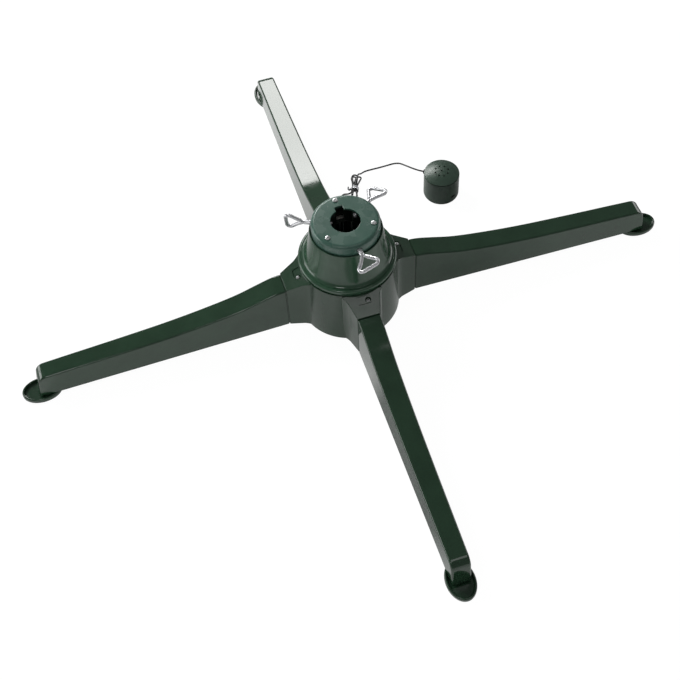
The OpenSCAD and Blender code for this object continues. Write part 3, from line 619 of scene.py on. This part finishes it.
# ------------------------------------------------------------------ screws
def screw(hr, hh, sr, length, seg=40, recess=True):
    """Pan head screw, seat at z = 0, with a cross recess and a threaded shank."""
    p = [(0, -length), (sr * 0.35, -length), (sr * 0.8, -length + sr * 0.9)]
    z, k = -length + sr * 1.2, 0
    while z < -0.8:
        p += [(sr * 0.78, z), (sr, z + 0.28)]
        z += 0.56
    p += [(sr * 0.82, -0.25), (sr * 0.82, 0), (hr - 0.15, 0), (hr, 0.12), (hr, hh * 0.38)]
    p += [(hr * 0.97 - hr * 0.34 * (1 - math.cos(math.radians(a))), hh * 0.38 + hh * 0.62 * math.sin(math.radians(a))) for a in (20, 40, 60, 78)]
    p += [(hr * 0.45, hh), (0, hh)]
    ob = raw("screw_form", rev(p, seg))
    if recess:
        w, l, dpt = hr * 0.13, hr * 0.56, hh * 0.72
        arm = lambda: loft([[(-l * 0.55, -w * 0.7, hh - dpt), (l * 0.55, -w * 0.7, hh - dpt), (l * 0.55, w * 0.7, hh - dpt), (-l * 0.55, w * 0.7, hh - dpt)],
                            [(-l, -w, hh + 0.1), (l, -w, hh + 0.1), (l, w, hh + 0.1), (-l, w, hh + 0.1)]])
        boolean(ob, arm())
        boolean(ob, spin(arm(), 90))
    me = ob.data
    part = ([tuple(v.co / MM) for v in me.vertices], [tuple(q.vertices) for q in me.polygons])
    bpy.data.objects.remove(ob)
    return part


flip = Matrix.Rotation(math.pi, 4, "X")
s_leg = screw(2.4, 1.5, 1.5, 18)
s_collar = screw(3.2, 1.6, 1.4, 12)
s_foot = screw(3.6, 1.9, 1.65, 22)
s_cover = screw(2.9, 1.4, 1.4, 13)
piece("leg_screw_set", join(*[spin(shift(spin(s_leg, 25 + 31 * i), SX, SY, SZ), a) for i, a in enumerate(leg_dirs.values())]), M["dull"], "root", ("leg_screws",))
piece("foot_screw_set", join(*[spin(shift(put(spin(s_foot, 12 + 40 * i), flip), 391, 0, 2.4), a) for i, a in enumerate(leg_dirs.values())]), M["zinc"], "root", ("foot_screws",))
piece("collar_screw_set", join(*[spin(shift(spin(s_collar, 20 + 37 * i), 33.5, 0, 170.6), 94 + 120 * i) for i in range(3)]), M["zinc"], "rotor", ("collar_screws",))
piece("cover_screw_set", join(*[spin(shift(put(spin(s_cover, 15 * i), flip), 53.5, 0, 18.8), a) for i, a in enumerate((67.5, 157.5, 202.5, 292.5))]), M["zinc"], "root", ("bottom_cover_screws",))


# ------------------------------------------------------------------ feet
def foot_part():
    prof = [(4.2, 0.0), (1.8, 0.0), (1.0, 0.15), (0.4, 0.7), (0.08, 1.6), (0.0, 2.8), (0.0, 4.4), (0.1, 5.3), (0.45, 6.15), (1.0, 6.75), (1.65, 7.0), (2.3, 6.9), (2.8, 6.45), (3.1, 5.7), (3.25, 4.6), (3.35, 3.5), (3.7, 2.85), (4.5, 2.6)]
    n = 72
    rings = [[(401.5 + (25 - e) * math.cos(2 * math.pi * k / n), (17.3 - e) * math.sin(2 * math.pi * k / n), z) for k in range(n)] for e, z in prof]
    ob = raw("foot_form", loft(rings))
    boolean(ob, shift(rev([(0, 1.6), (7.6, 1.6), (8.0, 2.6), (8.0, 6.6), (7.6, 7.0), (0, 7.0)], 56), 391), "UNION")
    boolean(ob, shift(rev([(0, -1), (4.6, -1), (4.2, 0.35), (4.2, 2.4), (2.1, 2.4), (2.1, 12), (0, 12)], 48), 391))
    me = ob.data
    part = ([tuple(v.co / MM) for v in me.vertices], [tuple(q.vertices) for q in me.polygons])
    bpy.data.objects.remove(ob)
    return part


FOOT = foot_part()
for side, a in leg_dirs.items():
    piece("foot_" + side + "_dish", spin(FOOT, a), M["foot"], "root", ("foot_" + side,), sharp=38)

# ------------------------------------------------------------------ housing with four sockets
BASE_R, TOP_R, BZ, TZ = 63.1, 59.7, 17.0, 100.0
SL = (BASE_R - TOP_R) / (TZ - BZ)
plan = [(50, 26.2), (56.6, 25), (58.8, 23.2), (61, 21.7), (64.5, 19.9), (83.2, 14.5)]


def stub_z(x):
    return min(99.9, 86.6 + (83.2 - x) * 0.485)


def stub_part():
    rings = []
    xs = [50, 53, 55.78, 56.6, 57.7, 58.8, 59.9, 61, 62.6, 64.5, 68, 72, 76, 80, 82.9, 83.2]
    for x in xs:
        h, zt = float(np.interp(x, [q[0] for q in plan], [q[1] for q in plan])), stub_z(x)
        if x > 83:
            h, zt = h - 0.3, zt - 0.3
        sec = rounded([(-h, 17.4), (h, 17.4), (h, zt), (-h, zt)], [0.4, 0.4, 0.75, 0.75], 5)
        rings.append([(x, y, z) for y, z in sec])
    return loft(rings)


def step_part():
    """Cutter for the shallow step on a socket's sloping top, ending on an arc about the axis."""
    a1 = math.degrees(math.asin(8.3 / 69.3))
    out = [(60.2, -8.3)] + arc(0, 0, 69.3, -a1, a1, 12) + [(60.2, 8.3)]
    out = rounded(out, [1.2] + [0.9] + [0] * 11 + [0.9] + [1.2], 4)
    return loft([[(x, y, stub_z(x) - 0.95) for x, y in out], [(x, y, 110) for x, y in out]])


def step_groove():
    """Narrow groove along the step's outer edge."""
    a1 = math.degrees(math.asin(7.6 / 69.3))
    out = arc(0, 0, 68.5, -a1, a1, 14) + arc(0, 0, 69.7, a1, -a1, 14)
    return loft([[(x, y, stub_z(x) - 2.0) for x, y in out], [(x, y, 110) for x, y in out]])


hub = raw("base_housing_shell", rev([(0, BZ), (BASE_R - 0.9, BZ), (BASE_R - 0.3, BZ + 0.25), (BASE_R - 0.02, BZ + 0.9)] + [(BASE_R - SL * (z - BZ), z) for z in (30, 45, 60, 75, 90)] + [(TOP_R, TZ - 0.3), (TOP_R - 0.3, TZ), (0, TZ)], 192))
STUB = stub_part()
for a in leg_dirs.values():
    boolean(hub, spin(STUB, a), "UNION")
boolean(hub, rev([(0, BZ - 1), (BASE_R - 3 + SL, BZ - 1), (TOP_R - 3 - SL, TZ + 1), (0, TZ + 1)], 192))
cut = [spin(block(54, 94, -12.7, 12.7, 20.3, 83.6), a) for a in leg_dirs.values()]
boolean(hub, join(*cut))
void = [(54, 83.5), (80.5, 83.5), (80.5, 84.9), (57.5, 95.6), (54, 95.6)]
boolean(hub, join(*[spin(loft([[(x, -12.7, z) for x, z in void], [(x, 12.7, z) for x, z in void]]), a) for a in leg_dirs.values()]))
boolean(hub, join(*[spin(step_part(), a) for a in leg_dirs.values()]))
boolean(hub, join(*[spin(step_groove(), a) for a in leg_dirs.values()]))
boolean(hub, join(*[spin(shift(rev([(0, SZ), (3.6, SZ), (3.6, 112), (0, 112)], 56), SX, SY), a) for a in leg_dirs.values()]))
boolean(hub, join(*[spin(shift(rod(1.7, 1.7, 80, SZ + 1, 32), SX, SY), a) for a in leg_dirs.values()]))
pock = rounded([(59.5, 15.4), (59.5, 20.2), (64, 17.5), (68, 16), (68, 15.4)], 0.3, 2)
boolean(hub, join(*[spin(prism([(x, s * y) for x, y in (pock if s > 0 else reversed(pock))], 10, 83), a) for a in leg_dirs.values() for s in (-1, 1)]))
boolean(hub, spin(shift(along_x(rod(4.6, 4.6, 50, 70, 48)), 0, 0, 30), 122))
boolean(hub, spin(shift(along_x(rod(3, 3, 50, 70, 40)), 0, 0, 27), 57))
extra = [spin(shift(pipe(4.4, 1.7, 83.5, 92.9), SX, SY), a) for a in leg_dirs.values()]
extra += [spin(shift(pipe(5, 2.1, 20, 50), 50.5), a) for a in (45, 135, 225, 315)]
extra += [spin(block(54.6, 60.2, -1.2, 1.2, 20, 50, 0.2), a) for a in (45, 135, 225, 315)]
extra += [spin(shift(pipe(3.8, 1.45, 19.8, 37.8), 53.5), a) for a in (67.5, 157.5, 202.5, 292.5)]
extra += [spin(block(56.4, 60.2, -1.2, 1.2, 19.9, 37.8, 0.2), a) for a in (67.5, 157.5, 202.5, 292.5)]
ex = raw("housing_inside", join(*extra))
me0, me1 = hub.data, ex.data
whole = join(([tuple(v.co / MM) for v in me0.vertices], [tuple(q.vertices) for q in me0.polygons]), ([tuple(v.co / MM) for v in me1.vertices], [tuple(q.vertices) for q in me1.polygons]))
bpy.data.objects.remove(ex)
bpy.data.objects.remove(hub)
piece("housing_shell", whole, M["hub"], "root", ("base_housing",), sharp=28)

# ------------------------------------------------------------------ bell-shaped cover
bell_out = [[44.2, 155.3], [45, 150], [46, 143], [47.3, 134], [48.8, 126], [50.4, 119], [52, 113.5], [53.6, 110.9], [55.2, 109.7]]
bell_in = [[53.8, 104], [53, 106.4], [51, 109.4], [49.5, 113.2], [47.9, 119], [46.3, 126], [44.8, 134], [44.1, 138.4]]
prof = [(42.6, 155.3), (42.75, 155.75), (43.1, 156), (43.6, 156), (44.0, 155.85)]
prof += [tuple(p) for p in smooth(bell_out, 4)]
prof += arc(57.4, 106.8, 3.1, 116, -70, 24)
prof += [(58.3, 103.5), (58.3, 100.3), (58.0, 100), (56.4, 100), (56.4, 94.4), (56.1, 94), (54.1, 94), (53.8, 94.4)]
prof += [tuple(p) for p in smooth(bell_in, 3)]
prof += [(28.4, 138.4), (28.4, 134.3), (28.1, 134), (25.8, 134), (25.6, 134.2), (25.6, 146), (28.4, 146), (28.4, 141), (43.2, 141), (42.6, 148)]
parts = [rev(prof, 192)]
parts += [spin(shift(pipe(4.5, 2.0, 53, 108.5), 50.5), a) for a in (45, 135, 225, 315)]
piece("bell_cover_shell", join(*parts), M["bell"], "root", ("bell_cover",), sharp=34)

# ------------------------------------------------------------------ collar cap
T = 94
nut_dirs = {"left": T + 61, "front": T + 181, "right": T - 59}
R, top = 41.75, 170.6
prof = [(18, top - 2.4), (18, top - 0.5), (18.15, top - 0.15), (18.5, top)]
prof += [(p[0], p[1]) for p in arc(R - 5, top - 5, 5, 90, 0, 14)]
prof += [(R, 153.5), (R - 0.15, 153.15), (R - 0.5, 153), (R - 2.2, 153), (R - 2.5, 153.3)]
prof += [(p[0], p[1]) for p in arc(R - 5, top - 5, 2.5, 0, 90, 6)]
prof += [(18.3, top - 2.5)]
cap = raw("collar_form", rev(prof, 180))
slot_plan = rounded([(15, -5), (23.4, -5), (23.4, 5), (15, 5)], [0, 0.7, 0.7, 0], 3)
boolean(cap, spin(prism(slot_plan, 160, 180), T))
wide = rounded([(15, -5.5), (23.9, -5.5), (23.9, 5.5), (15, 5.5)], [0, 1.0, 1.0, 0], 3)
boolean(cap, spin(loft([[(x, y, top - 0.5) for x, y in slot_plan], [(x, y, top + 0.02) for x, y in wide], [(x, y, top + 2) for x, y in wide]]), T))
for a in nut_dirs.values():
    boolean(cap, spin(shift(along_x(rev([(0, 34), (3.5, 34), (3.5, R - 0.55), (4.05, R + 0.1), (4.05, R + 4), (0, R + 4)], 56)), 0, 0, 162.2), a))
boolean(cap, join(*[spin(shift(rev([(0, 165), (1.8, 165), (1.8, top - 0.22), (3.75, top - 0.22), (3.95, top + 0.02), (3.95, top + 3), (0, top + 3)], 48), 33.5), T + 120 * i) for i in range(3)]))
cap.name = "collar_cap_shell"
finish_piece(cap, M["cap"], "rotor", ("collar_cap",), sharp=34)


# ------------------------------------------------------------------ eye bolts
def eye_bolt(ra, tip, roll, skew):
    pitch, r = 1.25, 2.9
    stop = 39.0
    steps, seg = int((stop - tip) / pitch * 10), 28
    rings = []
    for i in range(steps + 1):
        x = tip + (stop - tip) * i / steps
        ring = []
        for k in range(seg):
            a = 2 * math.pi * k / seg
            ph = (x / pitch - k / seg) % 1.0
            depth = 0.52 * (abs(ph - 0.5) * 2)
            depth = min(max(depth, 0.05), 0.46)
            fade = min(1.0, (stop - x) / 1.6)
            e = min(1.0, 0.62 + (x - tip) * 0.38)
            rr = (r - depth * fade) * e
            ring.append((x, rr * math.cos(a), rr * math.sin(a)))
        rings.append(ring)
    # plain neck, drawn down into the wire
    for x, rr in ((39.6, 2.9), (ra - 3.0, 2.9), (ra - 1.4, 2.86), (ra - 0.4, 2.7), (ra + 0.5, 2.4)):
        rings.append([(x, rr * math.cos(2 * math.pi * k / seg), rr * math.sin(2 * math.pi * k / seg)) for k in range(seg)])
    shank = loft(rings)
    el, eh, c = 21.0, 12.5, 4.2
    tt = math.degrees(math.atan2(eh - 1, el - 1))
    cy = eh - c - 0.3
    a1 = [(el - c + c * math.cos(math.radians(x)), -cy + c * math.sin(math.radians(x))) for x in np.linspace(-90 - tt, 0, 12)]
    a2 = [(el - c + c * math.cos(math.radians(x)), cy + c * math.sin(math.radians(x))) for x in np.linspace(0, 90 + tt, 12)]
    path = [(0.6, -0.5), (2.2, -1.5), (4.8, -3.3), (8.8, -6.1)] + a1 + [(el - 0.02, -3.4), (el + 0.05, 0.0), (el - 0.02, 3.4)] + a2 + [(9.0, 7.0), (6.0, 4.7), (3.6, 2.9), (2.6, 2.2)]
    cs, sn = math.cos(math.radians(skew)), math.sin(math.radians(skew))
    turn = lambda q: (q[0] * cs - q[1] * sn, q[0] * sn + q[1] * cs)
    path = [(-4.5, 0), (-2.8, 0), (-1.0, 0)] + [turn(q) for q in path]
    pts = smooth([[ra + x, y, 0] for x, y in path], 3)
    m = len(pts)

    def sec(i):
        left = m - 1 - i
        s = 1.0 if left > 2 else (0.80, 0.94, 0.99)[left]
        return circle(2.28 * s, 20)
    wire = sweep(pts, sec)
    return put(join(shank, wire), Matrix.Rotation(math.radians(roll), 4, "X"))


for side, ra, tip, roll, skew in (("left", 50.4, 16, 80, 0), ("front", 49.8, 16, 17, 2.5), ("right", 47.2, 16.4, -20, 5)):
    part = spin(shift(eye_bolt(ra, tip, roll, skew), 0, 0, 162.2), nut_dirs[side])
    piece("eye_bolt_" + side + "_wire", part, M["bright"], "eye_" + side, ("eye_bolt_" + side,), sharp=40)


# ------------------------------------------------------------------ glands and grommet
def radial(profile, az, z, seg=48):
    return spin(shift(along_x(rev(profile, seg)), 0, 0, z), az)


gland = [(2.6, 57.2), (2.8, 57), (5.2, 57), (5.4, 57.2), (5.4, 58.4), (5.2, 58.6), (4.5, 58.6), (4.5, 63), (6.0, 63), (6.4, 63.4), (6.4, 64.5), (6.1, 65), (5.3, 65.2)]
for i in range(4):
    x = 65.6 + i * 1.25
    r = 5.15 - (x - 65.6) * 0.19
    gland += [(r, x), (r, x + 0.6), (r - 0.75, x + 0.7), (r - 0.75, x + 1.15)]
gland += [(4.0, 70.5), (3.9, 70.9), (3.6, 71), (2.8, 71), (2.6, 70.8)]
piece("mains_gland_sleeve", radial(gland, 122, 30), M["rubber"], "root", ("mains_gland",), sharp=40)
piece("lead_gland_sleeve", radial([(1.2, 58.2), (1.4, 58), (2.8, 58), (2.95, 58.3), (2.95, 63), (4.1, 63), (4.4, 63.3), (4.35, 64.0), (3.9, 64.5), (3.2, 64.6), (1.5, 64.6), (1.2, 64.2)], 57, 27), M["rubber"], "root", ("lead_gland",), sharp=40)
box_at = lambda p: shift(p, 177, 142.5, 0)
piece("sound_grommet_ring", box_at(radial([(1.2, 21.2), (1.4, 21), (2.0, 21), (2.15, 21.3), (2.15, 24.1), (2.9, 24.1), (3.2, 24.4), (3.15, 25.0), (2.7, 25.5), (2.0, 25.6), (1.4, 25.6), (1.2, 25.3)], 143, 34)), M["rubber"], "root", ("sound_grommet",), sharp=40)

# ------------------------------------------------------------------ sound box
prof = [(0, 0.4), (17.5, 0.4), (17.9, 0), (20.4, 0)]
prof += [(21.4, 0.25), (22.3, 0.75), (23.1, 1.5), (23.65, 2.5), (23.92, 3.5), (24, 4.6), (24, 20), (24, 38.05), (23.85, 38.4), (23.5, 38.6), (22.6, 38.6), (22.6, 39), (21.9, 39), (21.9, 4.4), (20.4, 2.4), (0, 2.4)]
case = raw("case_form", rev(prof, 144))
boolean(case, spin(block(20, 22.6, -5.2, 5.2, 9.4, 15.8), -68))
boolean(case, spin(block(18, 28, -3.4, 3.4, 10.8, 13.8), -68))
boolean(case, spin(shift(along_x(rod(2.2, 2.2, 18, 28, 40)), 0, 0, 34), 143))
me = case.data
inner_ribs = [spin(block(17.2, 22.4, -1, 1, 2.2, 34.8, 0.2), -68 + 45 + 90 * k) for k in range(4)]
inner_ribs += [spin(shift(rod(2, 1.9, 2.2, 8, 32), 13), -68 + 45 + 90 * k) for k in range(4)]
part = join(([tuple(v.co / MM) for v in me.vertices], [tuple(q.vertices) for q in me.polygons]), *inner_ribs)
bpy.data.objects.remove(case)
piece("sound_case_shell", box_at(part), M["box"], "root", ("sound_case",), sharp=34)

dome = [(22.9 * (1 - i / 12), 44 - 0.0077 * (22.9 * (1 - i / 12)) ** 2) for i in range(13)]
prof = [(22.7, 39.0), (22.7, 39.38), (23.35, 39.4), (23.65, 39.5), (23.68, 39.66), (23.5, 39.82), (23.2, 39.9)] + dome
under = [(18.4 * i / 8, 42 - 0.0077 * (18.4 * i / 8) ** 2) for i in range(9)]
prof += under + [(18.4, 36.7), (18.6, 36.6), (21.6, 36.6), (21.8, 36.8), (21.8, 39)]
lid = raw("lid_form", rev(prof, 144))
holes = [rev([(0, 38), (1.15, 38), (1.15, 43.7), (1.5, 44.05), (1.5, 48), (0, 48)], 32)]
zt = 44 - 0.0077 * 9.1 ** 2
holes += [spin(shift(rev([(0, 38), (1.15, 38), (1.15, zt - 0.3), (1.5, zt + 0.08), (1.5, 48), (0, 48)], 32), 9.1), 45 * i) for i in range(8)]
boolean(lid, join(*holes))
me = lid.data
part = ([tuple(v.co / MM) for v in me.vertices], [tuple(q.vertices) for q in me.polygons])
bpy.data.objects.remove(lid)
piece("sound_lid_dome", box_at(part), M["box"], "root", ("sound_lid",), sharp=34)

knob = [block(17.6, 24.9, -3, 0, 11.1, 13.5, 0.25)]
knob += [block(24.5, 25.2, -2.85 + 0.95 * i, -2.35 + 0.95 * i, 11.3, 13.3, 0.15) for i in range(3)]
piece("switch_knob", box_at(spin(join(*knob), -68)), M["black"], "slider", ("switch_slider",))

# ------------------------------------------------------------------ carried-over nodes: finish and small edge rounding
finishes = {
    "bottom_cover": ("hub", 0.35), "housing_screws": ("zinc", 0.15), "upper_bush": ("nylon", 0.2), "gear_deck": ("deck", 0.25),
    "pole_tube": ("tube", 0.3), "pole_seat": ("rubber", 0.2), "drive_gear": ("nylon", 0.0), "drive_gear_screws": ("zinc", 0.0), "clamp_nuts": ("zinc", 0.3),
    "ball_cage": ("brass", 0.1), "bearing_balls": ("bright", 0.0), "motor": ("deck", 0.4), "motor_screws": ("zinc", 0.0), "motor_shaft": ("bright", 0.2),
    "pinion": ("nylon", 0.0), "power_board": ("board", 0.15), "power_board_screws": ("zinc", 0.0), "inner_leads": ("wire", 0.0),
    "sound_driver": ("black", 0.15), "sound_cone": ("paper", 0.0), "sound_board": ("chip", 0.1), "switch_block": ("zinc", 0.15),
}
for n, (mat, edge) in finishes.items():
    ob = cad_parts[n]
    ob.data.materials.clear()
    ob.data.materials.append(M[mat])
    if edge:
        wl = ob.modifiers.new("weld", "WELD")
        wl.merge_threshold = 2e-6
        bv = ob.modifiers.new("edge", "BEVEL")
        bv.width = edge * MM
        bv.segments = 2
        bv.limit_method = "ANGLE"
        bv.angle_limit = math.radians(50)
        bv.use_clamp_overlap = True

# ------------------------------------------------------------------ floor
def floor_plane(name, z, albedo, glow, stops=None, patches=()):
    """Pale floor: diffuse plus a glow, either even, or painted light and shade: glow set by stops along Y with soft
    oval patches added, each a painted pool of light or a painted shadow by the sign of its gain. Seen only from above.
    """
    fm = bpy.data.materials.new(name)
    fm.use_nodes = True
    ft = fm.node_tree
    ft.nodes.clear()
    out = ft.nodes.new("ShaderNodeOutputMaterial")
    dif = ft.nodes.new("ShaderNodeBsdfDiffuse")
    dif.inputs["Color"].default_value = (albedo, albedo, albedo, 1)
    emi = ft.nodes.new("ShaderNodeEmission")
    emi.inputs["Strength"].default_value = glow
    if stops:
        tc = ft.nodes.new("ShaderNodeTexCoord")
        sep = ft.nodes.new("ShaderNodeSeparateXYZ")
        ft.links.new(tc.outputs["Object"], sep.inputs[0])
        ramp = ft.nodes.new("ShaderNodeValToRGB")
        el = ramp.color_ramp.elements
        at = lambda y: (y + 0.6) / 1.4
        el[0].position, el[0].color = at(stops[0][0]), (stops[0][1],) * 3 + (1,)
        el[1].position, el[1].color = at(stops[-1][0]), (stops[-1][1],) * 3 + (1,)
        for y, g in stops[1:-1]:
            e = el.new(at(y))
            e.color = (g, g, g, 1)
        ft.links.new(span(ft, sep.outputs["Y"], 0.0, 1.0, -0.6, 0.8), ramp.inputs[0])
        total = ramp.outputs[0]
        # each patch adds painted light (positive gain) or painted shadow (negative gain) to the glow
        for cx, cy, rx, ry, gain in patches:
            mp = ft.nodes.new("ShaderNodeMapping")
            mp.inputs["Location"].default_value = (-cx / rx, -cy / ry, 0)
            mp.inputs["Scale"].default_value = (1 / rx, 1 / ry, 0)
            ft.links.new(tc.outputs["Object"], mp.inputs["Vector"])
            gr = ft.nodes.new("ShaderNodeTexGradient")
            gr.gradient_type = "SPHERICAL"
            ft.links.new(mp.outputs["Vector"], gr.inputs["Vector"])
            m = ft.nodes.new("ShaderNodeMath")
            m.operation = "MULTIPLY_ADD"
            m.use_clamp = False
            ft.links.new(gr.outputs["Fac"], m.inputs[0])
            m.inputs[1].default_value = gain
            ft.links.new(total, m.inputs[2])
            total = m.outputs[0]
        mx0 = ft.nodes.new("ShaderNodeMath")
        mx0.operation = "MAXIMUM"
        ft.links.new(total, mx0.inputs[0])
        mx0.inputs[1].default_value = 0.0
        ft.links.new(mx0.outputs[0], emi.inputs["Strength"])
    add = ft.nodes.new("ShaderNodeAddShader")
    ft.links.new(dif.outputs[0], add.inputs[0])
    ft.links.new(emi.outputs[0], add.inputs[1])
    geo = ft.nodes.new("ShaderNodeNewGeometry")
    tr = ft.nodes.new("ShaderNodeBsdfTransparent")
    mx = ft.nodes.new("ShaderNodeMixShader")
    ft.links.new(geo.outputs["Backfacing"], mx.inputs[0])
    ft.links.new(add.outputs[0], mx.inputs[1])
    ft.links.new(tr.outputs[0], mx.inputs[2])
    ft.links.new(mx.outputs[0], out.inputs[0])
    me = bpy.data.meshes.new(name)
    me.from_pydata([(-8, -8, z), (8, -8, z), (8, 8, z), (-8, 8, z)], [], [(0, 1, 2, 3)])
    me.materials.append(fm)
    o = bpy.data.objects.new(name, me)
    scene.collection.objects.link(o)
    return o


# Reflection floor, hidden from the camera: its glow is painted light and shade. It is lit in front and far behind, has
# a painted shadow band just behind the axis and a painted shadow beside the near leg, a painted pool of light in front
# of the housing, and painted shade in front of the right leg by the housing.
painted_glow_floor = floor_plane("studio_floor_painted_glow", -0.0004, 0.55, 0.3,
                     stops=[(-0.6, 0.56), (-0.02, 0.56), (0.03, 0.0), (0.10, 0.0), (0.17, 0.40), (0.35, 0.64), (0.8, 0.62)],
                     patches=[(-0.04, -0.23, 0.07, 0.20, -1.4), (-0.01, -0.11, 0.10, 0.07, 0.45), (0.15, -0.04, 0.16, 0.07, -0.3)])
painted_glow_floor.visible_camera = False
seen = floor_plane("studio_floor", -0.0002, 0.10, 0.972)
seen.visible_diffuse = seen.visible_glossy = seen.visible_transmission = seen.visible_shadow = False

# ------------------------------------------------------------------ light
world = bpy.data.worlds.new("studio")
scene.world = world
world.use_nodes = True
wt = world.node_tree
wt.nodes.clear()
wo = wt.nodes.new("ShaderNodeOutputWorld")
bg = wt.nodes.new("ShaderNodeBackground")
tc = wt.nodes.new("ShaderNodeTexCoord")
sx = wt.nodes.new("ShaderNodeSeparateXYZ")
cr = wt.nodes.new("ShaderNodeValToRGB")
els = cr.color_ramp.elements
els[0].position, els[0].color = 0.0, (0.16, 0.16, 0.16, 1)
els[1].position, els[1].color = 1.0, (0.145, 0.145, 0.145, 1)
for pos, v in ((0.18, 0.20), (0.50, 0.19)):
    e = els.new(pos)
    e.color = (v, v, v, 1)
wt.links.new(tc.outputs["Generated"], sx.inputs[0])
wt.links.new(sx.outputs["Z"], cr.inputs[0])
wt.links.new(cr.outputs[0], bg.inputs[0])
wt.links.new(bg.outputs[0], wo.inputs[0])


def area(name, at, look, sx_, sy_, radiance, glossy=True, diffuse=True, camera=False, tint=(1, 1, 1)):
    d = bpy.data.lights.new(name, "AREA")
    d.shape = "RECTANGLE"
    d.size, d.size_y = sx_, sy_
    d.energy = radiance * math.pi * sx_ * sy_
    d.color = tint
    o = bpy.data.objects.new(name, d)
    scene.collection.objects.link(o)
    z = (Vector(at) - Vector(look)).normalized()
    x = Vector((0, 0, 1)).cross(z)
    x = Vector((1, 0, 0)) if x.length < 1e-4 else x.normalized()
    y = z.cross(x)
    o.matrix_world = Matrix(((x.x, y.x, z.x, at[0]), (x.y, y.y, z.y, at[1]), (x.z, y.z, z.z, at[2]), (0, 0, 0, 1)))
    o.visible_camera = camera
    o.visible_glossy = glossy
    o.visible_diffuse = diffuse
    return o


area("overhead", (0.0, -0.1, 3.0), (0, 0, 0), 2.0, 2.0, 0.5, glossy=False)
area("key_back_left", (-0.967, 1.38, 1.41), (0, 0, 0), 1.0, 1.0, 10.5, glossy=False)
area("fill_front_left", (-1.48, -1.03, 1.26), (0, 0, 0.05), 0.8, 0.8, 1.6, glossy=False)
area("softbox_back", (0.02, 1.70, 1.315), (0.02, 0.0, 1.315), 0.80, 0.87, 12.0, tint=(1.0, 1.0, 0.985), diffuse=False)
area("softbox_top_front", (0.42, -0.77, 2.45), (0, -0.07, 0.1), 0.9, 0.7, 1.6, diffuse=False)
area("strip_left", (-1.9, 0.75, 0.42), (0, 0, 0.12), 1.3, 0.75, 4.4, diffuse=False)
area("strip_right", (1.9, 0.45, 0.42), (0, 0, 0.12), 1.1, 0.75, 2.8, diffuse=False)
area("glint_front_left", (-0.83, -1.06, 1.61), (0, 0, 0.1), 0.42, 0.42, 7.0, diffuse=False)

scene.view_settings.view_transform = "Standard"
scene.view_settings.look = "None"
scene.view_settings.exposure = 0.0
scene.view_settings.gamma = 1.0
